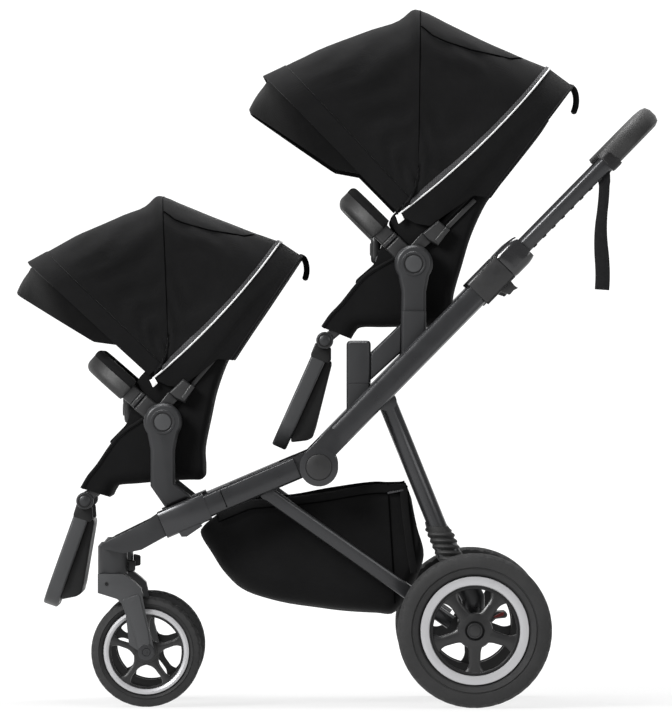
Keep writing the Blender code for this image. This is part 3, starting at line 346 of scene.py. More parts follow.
def thick(name, rows, wall):
    """A closed sheet: rows of points on its outer side, and the same rows one wall further in."""
    grid = np.array([[tuple(p) for p in row] for row in rows], float)
    normal = np.cross(np.gradient(grid, axis=0), np.gradient(grid, axis=1))
    normal /= np.maximum(np.linalg.norm(normal, axis=2, keepdims=True), 1e-9)
    if ((grid - grid.mean(axis=(0, 1))) * normal).sum() < 0:
        normal = -normal
    count, width = grid.shape[:2]
    size = count * width
    verts = [tuple(v) for layer in (grid, grid - normal * wall) for v in layer.reshape(-1, 3)]
    faces = []
    for i in range(count - 1):
        for k in range(width - 1):
            a, b, c, d = i * width + k, i * width + k + 1, (i + 1) * width + k + 1, (i + 1) * width + k
            faces += [(a, b, c, d), (size + d, size + c, size + b, size + a)]
    edge = ([i * width for i in range(count)] + [(count - 1) * width + k for k in range(1, width)]
            + [i * width + width - 1 for i in range(count - 2, -1, -1)] + list(range(width - 2, 0, -1)))
    faces += [(a, b, size + b, size + a) for a, b in zip(edge, edge[1:] + edge[:1])]
    return outward(raw(name, verts, faces))


def oval(width, height, corner, steps=4, crown=0.0):
    """A rounded section as (across, up) points, its long sides crowned."""
    half_w, half_h = width / 2 - corner, height / 2 - corner
    points = []
    for quarter, (sx, sy) in enumerate(((1, 1), (-1, 1), (-1, -1), (1, -1))):
        for i in range(steps + 1):
            a = math.radians(90 * quarter + 90 * i / steps)
            points.append((sx * half_w + corner * math.cos(a), sy * half_h + corner * math.sin(a)))
    return [(x, y + crown * math.copysign(1, y) * (1 - (2 * x / width) ** 2)) for x, y in points]


def upright(section):
    return [(v, u) for u, v in section]


def swept(name, path, section, side, scales=None):
    """A section carried along a path. Its first coordinate lies along side, its second across it."""
    path = [Vector(p) for p in path]
    rows = []
    for i, point in enumerate(path):
        way = (path[min(i + 1, len(path) - 1)] - path[max(i - 1, 0)]).normalized()
        first = Vector(side(i) if callable(side) else side)
        first = (first - way * first.dot(way)).normalized()
        second = way.cross(first)
        size = scales[i] if scales else 1.0
        rows.append([point + first * (a * size) + second * (b * size) for a, b in section])
    return outward(raw(name, *lattice(rows)))


def rounded_ends(path, size):
    """Section scales that close a swept piece with rounded ends, for a path cut finely near its ends."""
    lengths = np.cumsum([0] + [(b - a).length for a, b in zip(path, path[1:])])
    shares = [min(1, min(at, lengths[-1] - at) / size) for at in lengths]
    return [0.35 + 0.65 * math.sqrt(max(0.0, 1 - (1 - share) ** 2)) for share in shares]


def tube(name, path, radius, count=12):
    path = [Vector(p) for p in path]
    upwards, forwards = Vector((0, 0, 1)), Vector((1, 0, 0))
    last = upwards if abs((path[-1] - path[0]).normalized().z) < 0.8 else forwards
    sides = []
    for i in range(len(path)):
        way = (path[min(i + 1, len(path) - 1)] - path[max(i - 1, 0)]).normalized()
        last = (last - way * last.dot(way)).normalized()
        sides.append(last)
    circle = [(radius * math.cos(a), radius * math.sin(a)) for a in span(0, 2 * math.pi, count)[:-1]]
    return swept(name, path, circle, lambda i: sides[i])


def cord(name, path, radius, look, body=None, count=8):
    return dressed(tube(name, path, radius, count), look, body)


def stuffed(name, path, section, side, end, look, body, replaces=(), sharp=60):
    """A padded piece along a path, with rounded ends."""
    return dressed(swept(name, path, section, side, rounded_ends(path, end)), look, body, replaces, sharp)


def lathed(name, profile, centre, axis, count=64, closed=True):
    """A profile of (radius, distance along the axis), turned about a direction, or about -1 or 1 across."""
    axis = (ACROSS * axis if isinstance(axis, int) else Vector(axis)).normalized()
    first = Vector((0, 0, -1)) if abs(axis.z) < 0.8 else Vector((1, 0, 0))
    second = axis.cross(first)
    rows = []
    for a in span(0, 2 * math.pi, count)[:-1]:
        out = first * math.cos(a) + second * math.sin(a)
        rows.append([Vector(centre) + axis * d + out * r for r, d in profile])
    obj = raw(name, *lattice(rows, close_rows=True, close_ring=closed, caps=False))
    with editing(obj) as work:
        bmesh.ops.remove_doubles(work, verts=work.verts, dist=1e-6)
        bmesh.ops.recalc_face_normals(work, faces=work.faces)
    return obj


def round_part(name, profile, centre, axis, look, body, replaces=(), count=56, closed=False, sharp=30):
    return dressed(lathed(name, profile, centre, axis, count, closed), look, body, replaces, sharp)


def cleaned(work, distance, degrees):
    bmesh.ops.remove_doubles(work, verts=work.verts, dist=distance)
    bmesh.ops.dissolve_limit(work, angle_limit=math.radians(degrees), verts=work.verts, edges=work.edges)


def bevelled(work, width, segments, degrees, least=0.0):
    """Rounds the edges that are sharper than an angle and longer than a length."""
    chosen = [e for e in work.edges if len(e.link_faces) == 2 and e.calc_length() > least
              and e.calc_face_angle(0) > math.radians(degrees)]
    bmesh.ops.bevel(work, geom=chosen, offset=width, segments=segments, profile=0.5, affect="EDGES",
                    clamp_overlap=True)


def softened(obj, width, segments=2, degrees=30):
    with editing(obj) as work:
        cleaned(work, 2e-6, 1.5)
        bevelled(work, width, segments, degrees)
        bmesh.ops.triangulate(work, faces=[f for f in work.faces if len(f.verts) > 4])
        bmesh.ops.recalc_face_normals(work, faces=work.faces)
    return obj


def plate(name, outline, side, inner, outer, bevel=0.0015, segments=3):
    """An outline of the side view as a plate between two distances from the middle, with rounded rims."""
    low, high = sorted((side * inner, side * outer))
    rows = [[Vector((x, y, z)) for x, z in side_view(outline)] for y in (low, high)]
    return softened(outward(raw(name, *lattice(rows))), bevel, segments, 20)


def inset(outline, distance):
    """A closed side outline moved inward by a distance, or outward by a negative one."""
    points = [Vector(p) for p in outline]
    area = sum(a.x * b.y - b.x * a.y for a, b in zip(points, points[1:] + points[:1]))
    turn = 1 if area > 0 else -1
    made = []
    for before, at, after in zip(points[-1:] + points[:-1], points, points[1:] + points[:1]):
        first, second = (Vector((-way.y, way.x)) * turn
                         for way in ((at - before).normalized(), (after - at).normalized()))
        middle = (first + second).normalized()
        made.append(tuple(at + middle * (distance / max(0.5, middle.dot(first)))))
    return made


CHAMFER = [(0.0, 1.0), (0.06, 0.80), (0.18, 0.60), (0.62, 0.16), (0.80, 0.05), (1.0, 0.0)]


def chamfered(name, outline, side, inner, outer, size, square=()):
    """A side outline as a plate whose outer rim is cut by a broad facet with soft edges. The corners named by
    square stay at their height, so that a part can butt against the next one."""
    outline = side_view(outline)
    layers = [(outline, inner), (inset(outline, -0.0002), inner + 0.001)]
    for share, depth in CHAMFER:
        line = inset(outline, size * share)
        for k in square:
            line[k] = (line[k][0], outline[k][1])
        layers.append((line, outer - size * depth))
    return outward(raw(name, *lattice([[Vector((x, side * y, z)) for x, z in line] for line, y in layers])))


def soft_corners(outline, radius, steps=4):
    """A closed side outline with its corners rounded."""
    made = []
    for before, at, after in zip(outline[-1:] + outline[:-1], outline, outline[1:] + outline[:1]):
        at = Vector(at)
        ways = [Vector(other) - at for other in (before, after)]
        first, last = (at + way.normalized() * min(radius, way.length * 0.45) for way in ways)
        made += [tuple(first * (1 - t) ** 2 + at * 2 * t * (1 - t) + last * t ** 2) for t in span(0, 1, steps)]
    return made


def joined(name, parts):
    """Several closed pieces of one sub-part as one object."""
    verts, faces = [], []
    for part in parts:
        start = len(verts)
        verts += [tuple(v.co) for v in part.data.vertices]
        faces += [tuple(start + i for i in face.vertices) for face in part.data.polygons]
        bpy.data.objects.remove(part)
    return raw(name, verts, faces)


# Canopies: rows from the lower end at the pivot to the ridge, in metres from the pivot of the rear one

REAR_EDGE, REAR_BOW, MID_BOW, FRONT_SEAM, HEM_EDGE = 0.0, 1.0, 2.0, 3.0, 4.0
RIDGE = [(REAR_EDGE, 0.2826, 0.2042), (REAR_BOW, 0.2436, 0.2333), (1.20, 0.1948, 0.2529), (1.54, 0.1231, 0.2858),
         (1.81, 0.0643, 0.3136), (1.93, 0.0404, 0.3258), (MID_BOW, 0.0271, 0.3312), (2.03, 0.0200, 0.3332),
         (2.06, 0.0129, 0.3318), (2.08, 0.0082, 0.3280), (2.115, -0.0001, 0.3206), (2.15, -0.0084, 0.3150),
         (2.20, -0.0203, 0.3097), (2.35, -0.0558, 0.2989), (2.49, -0.0910, 0.2857), (2.71, -0.1378, 0.2682),
         (2.87, -0.1754, 0.2496), (FRONT_SEAM, -0.1985, 0.2383), (HEM_EDGE, -0.2341, 0.2215)]
LOWER = [(REAR_EDGE, 0.1431, 0.0167), (0.25, 0.1151, 0.0210), (0.80, 0.0358, -0.0342),
         (REAR_BOW, -0.0087, -0.0102), (MID_BOW, 0.0236, 0.0385), (FRONT_SEAM, 0.0099, 0.0150),
         (HEM_EDGE, -0.0154, -0.0031)]
ROW_BULGE = 0.0115
CANOPY_HALF, CANOPY_FLARE, CANOPY_CORNER, CANOPY_WALL = 0.1775, 0.0100, 0.075, 0.0022
SIDE_ENDS, CORNER_ENDS = 0.5, 0.78
SIDE_DIP = 0.006
ROOF_CROWN = 0.003
ROOF_FLAP = [(1.19, 0.74), (1.25, 0.68), (1.40, 0.648), (1.54, 0.623), (1.75, 0.603), (1.88, 0.597), (1.99, 0.613)]
BILLOW, BILLOW_PITCH = 0.0062, 0.105
HOOD_STEPS = 72


def creases(name, size=0.0012):
    """Small folds of the fabric, the same at each run."""
    seed = sum(ord(letter) for letter in name)
    return lambda p: size * noise.noise(Vector((p.x * 16 + seed, p.y * 9, p.z * 16)))


def from_foot(v):
    """How far up its half an arch's point lies: 0 at a foot and 1 at the ridge."""
    return 1 - abs(2 * v - 1)


def arch_point(low, high, bulge, v, dip):
    """A point of an arch in the side view's row from low to high: v is 0 at its left foot and 1 at its right."""
    way = Vector((high[0] - low[0], high[1] - low[1]))
    length, half, corner = way.length, CANOPY_HALF, CANOPY_CORNER
    way.normalize()
    down = Vector((way.y, -way.x))
    q = from_foot(v)
    over = max(0.0, q - CORNER_ENDS) / (1 - CORNER_ENDS)
    if q <= SIDE_ENDS:
        run, y = (length - corner) * q / SIDE_ENDS, half
    elif q <= CORNER_ENDS:
        a = math.pi / 2 * (q - SIDE_ENDS) / (CORNER_ENDS - SIDE_ENDS)
        run, y = length - corner + corner * math.sin(a), half - corner * (1 - math.cos(a))
    else:
        run, y = length, (half - corner) * (1 - over)
    share = run / length
    y += CANOPY_FLARE * min(1.0, run / 0.2) * min(1.0, y / (half - corner)) - dip * math.sin(math.pi * share)
    sink = ROOF_CROWN * max(0.0, share - 0.9) / 0.1 * (1 - over)
    at = Vector(low) + way * (run - sink) + down * (bulge * 4 * share * (1 - share))
    return at.x, -y if v <= 0.5 else y, at.y


def billow(u, v, length, share):
    """Soft folds of the stretched fabric, which run from bow to bow and die out at each bow."""
    run = length * min(1.0, from_foot(v) / 0.72)
    drift = noise.noise(Vector((u * 1.7, run * 9, (v > 0.5) * 4.0)))
    return BILLOW * share * math.sin(2 * math.pi * run / BILLOW_PITCH + 3.5 * drift + 0.8 * u)


def canopy_point(seat, u, v):
    low, high = along(LOWER, u), along(RIDGE, u)
    bulge = ROW_BULGE * math.exp(-((u - REAR_BOW) / 0.45) ** 2)
    share = math.sin(math.pi * (u % 1.0)) if REAR_BOW < u < FRONT_SEAM else 0.0
    x, y, z = arch_point(low, high, bulge, v, SIDE_DIP * share)
    y += math.copysign(billow(u, v, math.dist(low, high), share), y) * min(1.0, abs(y) / 0.1)
    return canopy_at(seat, (x, z), y)


def on_canopy(seat, u, v, out=0.0):
    """A canopy point lifted off the fabric along its normal."""
    at, step = canopy_point(seat, u, v), 0.01
    du = canopy_point(seat, min(u + step, HEM_EDGE), v) - canopy_point(seat, max(u - step, REAR_EDGE), v)
    dv = canopy_point(seat, u, min(v + step, 1)) - canopy_point(seat, u, max(v - step, 0))
    normal = du.cross(dv).normalized()
    if normal.dot(at - canopy_at(seat, (0.0, 0.15))) < 0:
        normal.negate()
    return at + normal * out


def opens_like_a_fan(obj, prefix):
    """Bakes a piece's place into its mesh."""
    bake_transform(obj)


def fan_cord(prefix, name, path, radius, look, count=10):
    """A cord or bow along a path, its place baked into its mesh."""
    opens_like_a_fan(cord("%s_%s" % (prefix, name), path, radius, look, count=count), prefix)


def canopy_rows(seat, us, folds, out=0.0):
    rows = [[on_canopy(seat, u, v, out) for v in span(0, 1, HOOD_STEPS)] for u in us]
    return [[p + Vector((0, folds(p), folds(p))) for p in row] for row in rows]


def canopy(prefix):
    seat = SEATS[prefix]
    us = sorted({round(u, 4) for u in span(REAR_EDGE, REAR_BOW, 8) + span(REAR_BOW, MID_BOW, 14)
                 + span(MID_BOW, 2.2, 12) + span(2.2, FRONT_SEAM - 0.004, 12)})
    hood = thick(prefix + "_hood_fabric", canopy_rows(seat, us, creases(prefix)), CANOPY_WALL)
    dressed(hood, "fabric", replaces=(prefix + "_canopy_hood",), sharp=50)
    opens_like_a_fan(hood, prefix)
    for name, look, mark, radius, end in (("reflective_line", "piping", REAR_BOW, 0.0015, 0.0),
                                          ("mid_seam", "seam", MID_BOW, 0.0006, 0.02),
                                          ("rear_seam", "fabric", REAR_EDGE + 0.03, 0.0020, 0.0)):
        path = [on_canopy(seat, mark, v, radius * 0.5) for v in span(end, 1 - end, 110)]
        fan_cord(prefix, name, path, radius, look)
    for label in SIDES:
        marks, path = span(ROOF_FLAP[0][0], ROOF_FLAP[-1][0], 36), []
        for u in marks:
            v = float(np.interp(u, *zip(*ROOF_FLAP))) / 2
            path.append(on_canopy(seat, u, v if label == "left" else 1 - v, 0.0006))
        fan_cord(prefix, "roof_seam_" + label, path, 0.0012, "seam", 8)
    zip_tape(prefix)
    for mark in (REAR_BOW, MID_BOW):
        path = bow_path(seat, mark, 0.160, -0.0120, 0.08)
        fan_cord(prefix, "bow_%d" % mark, path, 0.0035, "plastic")
    back_panel(prefix)
    canopy_hem(prefix)
    canopy_trim(prefix)


def bow_path(seat, mark, half, out, end):
    """A bow from pivot to pivot inside the fabric."""
    path = [on_canopy(seat, mark, v, out) for v in span(end, 1 - end, 60)]
    return [seat["pivot"] - ACROSS * half, *path, seat["pivot"] + ACROSS * half]


TAPE_SHARES, TAPE_WIDTHS = [0, 0.06, 0.30, 0.6, 1.0], [0.0085, 0.0085, 0.0062, 0.0046, 0.0046]
TAPE_GAP, TAPE_RISE = 0.0018, 0.0022


def zip_tape(prefix):
    """The textured tape forward of the reflective line, widest at its lower end."""
    seat, rows, marks = SEATS[prefix], [], []
    for i in range(5):
        row = []
        for v in span(0.02, 0.98, 90):
            spacing = (canopy_point(seat, MID_BOW, v) - canopy_point(seat, REAR_BOW, v)).length
            width = float(np.interp(from_foot(v), TAPE_SHARES, TAPE_WIDTHS)) * seat["canopy"]
            u = REAR_BOW + (TAPE_GAP + width * i / 4) / spacing
            row.append(on_canopy(seat, u, v, TAPE_RISE))
            marks.append(round(u, 3))
        rows.append(row)
    tape = dressed(thick(prefix + "_zip_tape", rows, TAPE_RISE), "tape", sharp=60)
    opens_like_a_fan(tape, prefix)


def back_panel(prefix):
    """The sheet that closes the arch behind, down to the top of the seat's back."""
    seat, rows = SEATS[prefix], []
    inward = canopy_at(seat, (-0.010, 0.004)) - canopy_at(seat, (0, 0))
    for v in span(0.0, 0.5, 30):
        a, b = (on_canopy(seat, REAR_EDGE + 0.03, w, -0.003) for w in (v, 1 - v))
        if v == 0.5:
            b = a + ACROSS * 1e-4
        rows.append([a.lerp(b, t) + inward * (4 * t * (1 - t) * min(1.0, abs(b.y - a.y) / 0.2))
                     for t in span(0, 1, 24)])
    panel = dressed(thick(prefix + "_back_panel", rows, 0.0018), "fabric", prefix + "_seat", sharp=60)


TAB_LINE = [(0.2740, 0.2060), (0.2838, 0.2010), (0.2880, 0.1890), (0.2878, 0.1740), (0.2832, 0.1595)]
TAG = [(-0.0145, -0.0120), (-0.0045, -0.0090), (0.0005, -0.0190), (-0.0090, -0.0265)]
WING = [(-0.0290, 0.0530), (-0.0400, 0.0690), (-0.0370, 0.0790), (-0.0180, 0.0960), (0.0300, 0.1000),
        (0.0420, 0.0560), (0.0300, 0.0240), (-0.0020, 0.0240)]
INNER_WING = [(-0.1000, -0.0300), (-0.0620, 0.0030), (-0.0570, 0.0225), (-0.0455, 0.0420), (-0.0324, 0.0686),
              (-0.0100, 0.0900), (0.0600, 0.0950), (0.0600, -0.0200)]


def canopy_trim(prefix):
    """The tab behind the hood, the blank tags at the pivots and the cloth that closes the gap to the hubs."""
    seat, body = SEATS[prefix], prefix + "_seat"
    line = curve([canopy_at(seat, point) for point in TAB_LINE], 6)
    stuffed(prefix + "_hood_tab", line, oval(0.030, 0.0100, 0.0044, 4), ACROSS, 0.004, "fabric", body, sharp=50)
    for label, side in SIDES.items():
        tag = plate("%s_tag_%s" % (prefix, label), [canopy_at(seat, point) for point in TAG], side, 0.1785, 0.1800,
                    0.0006, 2)
        dressed(tag, "label", body, sharp=30)
        for name, shape, near, far in (("wing", WING, 0.1655, 0.1685), ("side_cloth", INNER_WING, 0.1470, 0.1500)):
            outline = [seat_at(seat, point) for point in soft_corners(shape, 0.010)]
            cloth = plate("%s_%s_%s" % (prefix, name, label), outline, side, near, far, 0.0012)
            dressed(cloth, "fabric", body, sharp=50)


VISOR = [(0.0, -0.0718, 0.0560), (0.22, -0.1147, 0.0639), (0.95, -0.2549, 0.1591), (1.0, -0.2569, 0.1651)]
VISOR_ROOT, VISOR_UNDER = HEM_EDGE - 0.12, -0.0028
VISOR_TUCK = 0.0230
VISOR_KNEE = 0.3


def canopy_hem(prefix):
    """The front bow's padded hem, the visor under it and the bow itself, which turn together."""
    seat, body = SEATS[prefix], prefix + "_canopy"
    line = [on_canopy(seat, FRONT_SEAM, v) for v in span(0.0, 1.0, 90)]
    # The hem seam takes the visor's finish, the fabric darkened as painted shade.
    cord(prefix + "_hem_seam", line, 0.0015, "visor", body)
    rows = canopy_rows(seat, span(FRONT_SEAM + 0.005, HEM_EDGE, 8), creases(prefix + "hem", 0.0006), 0.0012)
    dressed(thick(prefix + "_front_hem", rows, 0.0050), "fabric", body, (prefix + "_canopy_front",), sharp=50)
    columns = []
    for v in span(0.0, 1.0, HOOD_STEPS):
        q = from_foot(v)
        edge_v = (0.30 + 0.70 * q) / 2 if v <= 0.5 else 1 - (0.30 + 0.70 * q) / 2
        root = on_canopy(seat, VISOR_ROOT, edge_v, VISOR_UNDER)
        side_y = abs(root.y) * (1 - 0.04 * q)
        front = canopy_at(seat, along(VISOR, min(1.0, q / CORNER_ENDS)), math.copysign(side_y, root.y))
        inside = on_canopy(seat, VISOR_ROOT, edge_v, VISOR_UNDER - VISOR_TUCK * max(0.0, (q - 0.55) / 0.45))
        knee = root.lerp(front, 0.12) + (inside - root) * 0.9
        columns.append([root.lerp(knee, t / VISOR_KNEE) if t < VISOR_KNEE else
                        knee.lerp(front, (t - VISOR_KNEE) / (1 - VISOR_KNEE))
                        + Vector((-0.003, 0, 0.004)) * (4 * t * (1 - t)) for t in span(0, 1, 10)])
    # The visor takes the darkened visor finish: painted shade under the hood.
    dressed(thick(prefix + "_visor", list(zip(*columns)), 0.0030), "visor", body, sharp=50)
    cord(prefix + "_front_bow", bow_path(seat, FRONT_SEAM + 0.2, 0.169, -0.0078, 0.03), 0.0036, "plastic", body, 10)


# Hammock shells: a fabric tub held by its rim, lofted from pairs of a lowest and a rim point

def shell_rows(stations, steps, place, half, corner, sag=0.0, dip=0.0):
    """Rings from the left rim down, across and up to the right rim."""
    bases, rims = (curve([(*pair[k], 0) for pair in stations], steps) for k in (0, 1))
    rows = []
    for index, (base, rim_at) in enumerate(zip(bases, rims)):
        base, way = base.xy, (rim_at - base).xy
        depth = way.length
        way.normalize()
        turn = min(corner, depth * 0.8)
        drop = sag * math.sin(math.pi * index / (len(bases) - 1))
        profile = [(depth + (turn - depth) * t, half - dip * math.sin(math.pi * t)) for t in (0, 0.25, 0.5, 0.75)]
        profile += [(turn - turn * math.sin(a), half - turn + turn * math.cos(a)) for a in span(0, math.pi / 2, 6)]
        profile += [(0.0, (half - turn) * t) for t in (0.75, 0.5, 0.25, 0.0)]
        row = []
        for d, y in [(d, -y) for d, y in profile] + profile[-2::-1]:
            middle = 1 - (abs(y) / half) ** 2
            row.append(place(base + way * (d - drop * middle * (d < turn)), y))
        rows.append(row)
    return rows


SEAT_STATIONS = [((-0.1026, -0.123), (-0.150, -0.104)), ((-0.0960, -0.1120), (-0.136, -0.084)),
                 ((-0.0855, -0.1036), (-0.118, -0.065)), ((-0.0500, -0.1033), (-0.080, -0.020)),
                 ((0.0000, -0.1027), (-0.0335, 0.008)), ((0.0380, -0.1040), (-0.004, 0.026)),
                 ((0.0600, -0.1040), (0.020, 0.040)), ((0.0645, -0.0860), (0.030, 0.050)),
                 ((0.0663, -0.052), (0.040, 0.060)), ((0.0805, -0.0013), (0.060, 0.081)),
                 ((0.0960, 0.049), (0.084, 0.104)), ((0.1214, 0.1026), (0.110, 0.130)),
                 ((0.1515, 0.1406), (0.139, 0.168)), ((0.2046, 0.2082), (0.183, 0.226)),
                 ((0.2240, 0.2370), (0.205, 0.2475))]
SEAT_HALF, SEAT_WALL, SEAT_CORNER = 0.1668, 0.0165, 0.024


def seat_fabric(prefix):
    rows = shell_rows(SEAT_STATIONS, 4, lambda p, y: seat_at(SEATS[prefix], p, y), SEAT_HALF, SEAT_CORNER)
    folds = creases(prefix + "seat", 0.0010)
    rows = [[p + ACROSS * folds(p) for p in row] for row in rows]
    shell = thick(prefix + "_seat_fabric", rows, SEAT_WALL)
    dressed(shell, "fabric", prefix + "_seat", (prefix + "_seat_shell",), sharp=50)
    for label, k in (("left", 0), ("right", -1)):
        cord("%s_wing_piping_%s" % (prefix, label), [row[k] for row in rows], 0.0030, "fabric", prefix + "_seat", 10)


# Wheels

WHEELS = {
    "rear": {
        "tyre": {"radius": 0.127, "bead": 0.0898, "half": 0.0238, "lugs": 44},
        "rim": (0.0896, 0.0706, 0.024), "ring": (0.0743, 0.0893), "angles": (270, 342, 54, 126, 198),
        "face": (0.0165, 0.0135), "widths": (0.038, 0.0195, 0.0185, 0.046),
        "hub": [(0.0064, -0.017), (0.020, -0.017), (0.0215, -0.014), (0.0215, 0.010), (0.0300, 0.0125),
                (0.0285, 0.0165), (0.0205, 0.0185), (0.0165, 0.0190), (0.0140, 0.0175), (0.0140, 0.0112),
                (0.0064, 0.0112)]},
    "front": {
        "tyre": {"radius": 0.091, "bead": 0.0712, "half": 0.0168, "lugs": 36},
        "rim": (0.0710, 0.0600, 0.017), "ring": (0.0614, 0.0707), "angles": (90, 162, 18, 234, 306),
        "face": (0.0120, 0.0105), "widths": (0.0280, 0.0105, 0.0100, 0.0300),
        "hub": [(0.0046, -0.0150), (0.0150, -0.0150), (0.0165, -0.0130), (0.0165, 0.0090), (0.0200, 0.0105),
                (0.0185, 0.0140), (0.0120, 0.0150), (0.0046, 0.0150)]},
}
CAP_BUTTON = [(0.0, 0.0167), (0.0128, 0.0167), (0.0128, 0.0215), (0.0122, 0.0226), (0.0104, 0.0230),
              (0.0100, 0.0222), (0.0096, 0.0230), (0.0050, 0.0236), (0.0, 0.0237)]
LUG_DEPTH = 0.0011
SPOKE_FLARE, SPOKE_ROOT, SPOKE_THICK = 0.38, 0.016, 0.009


def tyre(name, centre, side, body, replaced, radius, bead, half, lugs):
    """A tyre with a ribbed tread, its sidewall stepped where the photo shows a line."""
    step = bead + 0.34 * (radius - bead)
    section = [(bead, 0.62), (bead + 0.004, 0.86), (step - 0.0012, 0.95), (step - 0.0006, 0.90),
               (step + 0.0010, 0.90), (step + 0.0018, 0.975), (radius - 0.012, 1.0), (radius - 0.0045, 0.90),
               (radius - 0.0012, 0.66), (radius - 0.0004, 0.34), (radius, 0.30), (radius, 0.06),
               (radius - 0.0016, 0.04)]
    section = [(r, -w) for r, w in section] + section[::-1]
    rows = []
    for i, a in enumerate(span(0, 2 * math.pi, lugs * 6)[:-1]):
        cut = LUG_DEPTH if i % 6 in (0, 1) else 0.0
        out = Vector((-math.sin(a), 0, -math.cos(a)))
        rows.append([centre + out * (r - (cut if r > radius - 0.006 and abs(w) > 0.10 else 0.0))
                     + ACROSS * (side * w * half) for r, w in section])
    dressed(outward(raw(name, *lattice(rows, close_rows=True))), "rubber", body, (replaced,), sharp=24)


def spoke(centre, side, degrees, outer, widths, face):
    """One spoke from the hub to the rim, crowned outside and flaring at both ends."""
    out, lift = heading(degrees)
    rows = []
    for t in span(0, 1, 22):
        half = (float(np.interp(t, [SPOKE_FLARE, 1 - SPOKE_FLARE], widths[1:3]))
                + (widths[0] - widths[1]) * max(0.0, 1 - t / SPOKE_FLARE) ** 2
                + (widths[3] - widths[2]) * max(0.0, 1 - (1 - t) / SPOKE_FLARE) ** 2) / 2
        top = face[0] + (face[1] - face[0]) * t
        section = [(-1, -SPOKE_THICK), (-1, -0.002), (-0.82, 0), (-0.45, 0.0010), (0, 0.0013), (0.45, 0.0010),
                   (0.82, 0), (1, -0.002), (1, -SPOKE_THICK)]
        at = centre + out * (SPOKE_ROOT + (outer - SPOKE_ROOT) * t)
        rows.append([at + lift * (w * half) + ACROSS * side * (top + d) for w, d in section])
    return outward(raw("blade", *lattice(rows)))


def rim(name, centre, side, body, replaced, wheel):
    """A dished rim with its spokes, and its silver ring as a piece of its own."""
    (radius, opening, half), (ring_in, ring_out) = wheel["rim"], wheel["ring"]
    band, ring_middle = 0.72 * half, (ring_in + ring_out) / 2
    round_part(name + "_barrel", [(opening, -band), (radius, -band), (radius, band), (ring_out, band + 0.0006),
                                  (ring_in, band - 0.0010), (opening + 0.0012, band - 0.0012),
                                  (opening, band - 0.0026)], centre, side, "black", body, (), 96, True, 35)
    hub = lathed("hub", wheel["hub"], centre, side, 48)
    blades = [spoke(centre, side, a, opening + 0.003, wheel["widths"], wheel["face"]) for a in wheel["angles"]]
    flange = lathed("flange", [(opening - 0.0022, band - 0.0090), (opening + 0.0006, band - 0.0090),
                               (opening + 0.0006, band - 0.0012), (opening - 0.0006, band - 0.0012),
                               (opening - 0.0022, band - 0.0028)], centre, side, 96)
    dressed(joined(name, [flange, hub, *blades]), "rim", body, (replaced,), sharp=35)
    round_part(name + "_ring", [(ring_in, band - 0.0008), (ring_in + 0.001, band + 0.0010),
                                (ring_middle, band + 0.0024), (ring_out - 0.001, band + 0.0014),
                                (ring_out, band + 0.0002), (ring_middle, band - 0.0020)],
               centre, side, "silver", body, (), 128, True)


def wheels():
    for label, side in SIDES.items():
        for end, wheel in WHEELS.items():
            centre, body = joint_at("%s_wheel_spin_%s" % (end, label)), "%s_wheel_%s" % (end, label)
            tyre("%s_tyre_rubber_%s" % (end, label), centre, side, body, "%s_tyre_%s" % (end, label), **wheel["tyre"])
            rim("%s_rim_web_%s" % (end, label), centre, side, body, "%s_rim_%s" % (end, label), wheel)
            if end == "rear":
                round_part("cap_button_" + label, CAP_BUTTON, centre, side, "plastic", "hub_cap_" + label,
                           ("hub_cap_" + label,), 48)


# Stage, light and camera

CAMERA_AT = (0.0044, -15.5, 0.571)
LENS, SENSOR = 464.35, 36.0
PAPER_GLOW, FAR_GLOW, PAPER_TONE = 0.78, 1.10, 0.11
GLOW_FROM, GLOW_TO = 0.7, 3.0
WORLD_LIGHT = 0.26
LAMPS = {"key": ((-3.0, -2.9, 3.0), (1.8, 1.6), 300), "fill": ((3.4, -3.4, 1.6), (1.8, 1.8), 35),
         "top": ((-0.2, 0.2, 4.2), (2.6, 1.6), 260)}
LAMP_AIM = Vector((0, 0, 0.6))


def stage():
    """A pale floor that curves up into the backdrop, so no horizon shows."""
    front, back, bend, top, half = -26.0, 18.0, 4.0, 20.0, 26.0
    line = [(front, 0.0), (0.0, 0.0), (back, 0.0)]
    line += [(back + bend * math.sin(a), bend - bend * math.cos(a)) for a in span(0, math.pi / 2, 16)[1:]]
    line.append((back + bend, top))
    rows = [[Vector((x, y, z)) for y, z in line] for x in (-half, half)]
    floor = raw("studio_floor", *lattice(rows, close_ring=False))
    made, tree, shader = principled("studio_paper")
    where = tree.nodes.new("ShaderNodeTexCoord").outputs["Object"]
    depth = node(tree, "SeparateXYZ", "Y", {0: where})
    feed(tree, shader, {
        "Roughness": 0.95, "Specular IOR Level": 0.1, "Emission Color": (1, 1, 1, 1),
        "Base Color": mixed(tree, [PAPER_TONE] * 3, 0.03, cloudy(tree, where, 0.8)),
        "Emission Strength": ranged(tree, depth, PAPER_GLOW, FAR_GLOW, GLOW_FROM, GLOW_TO)})
    floor.data.materials.append(made)


def lights():
    world = bpy.data.worlds.new("studio_light")
    world.use_nodes = True
    feed(world.node_tree, world.node_tree.nodes["Background"], {"Color": (1, 1, 1, 1), "Strength": WORLD_LIGHT})
    bpy.context.scene.world = world
    bpy.context.scene.view_settings.view_transform = "Standard"
    for name, (place, size, power) in LAMPS.items():
        light = bpy.data.lights.new(name, "AREA")
        light.shape = "RECTANGLE"
        light.size, light.size_y = size
        light.energy = power
        obj = added(name, light)
        obj.location = place
        obj.rotation_euler = (LAMP_AIM - Vector(place)).to_track_quat("-Z", "Y").to_euler()


def camera():
    data = bpy.data.cameras.new("photo_camera")
    data.lens, data.sensor_width, data.clip_end = LENS, SENSOR, 80
    obj = added("photo_camera", data)
    obj.location = CAMERA_AT
    obj.rotation_euler = (math.pi / 2, 0, 0)
    bpy.context.scene.camera = obj


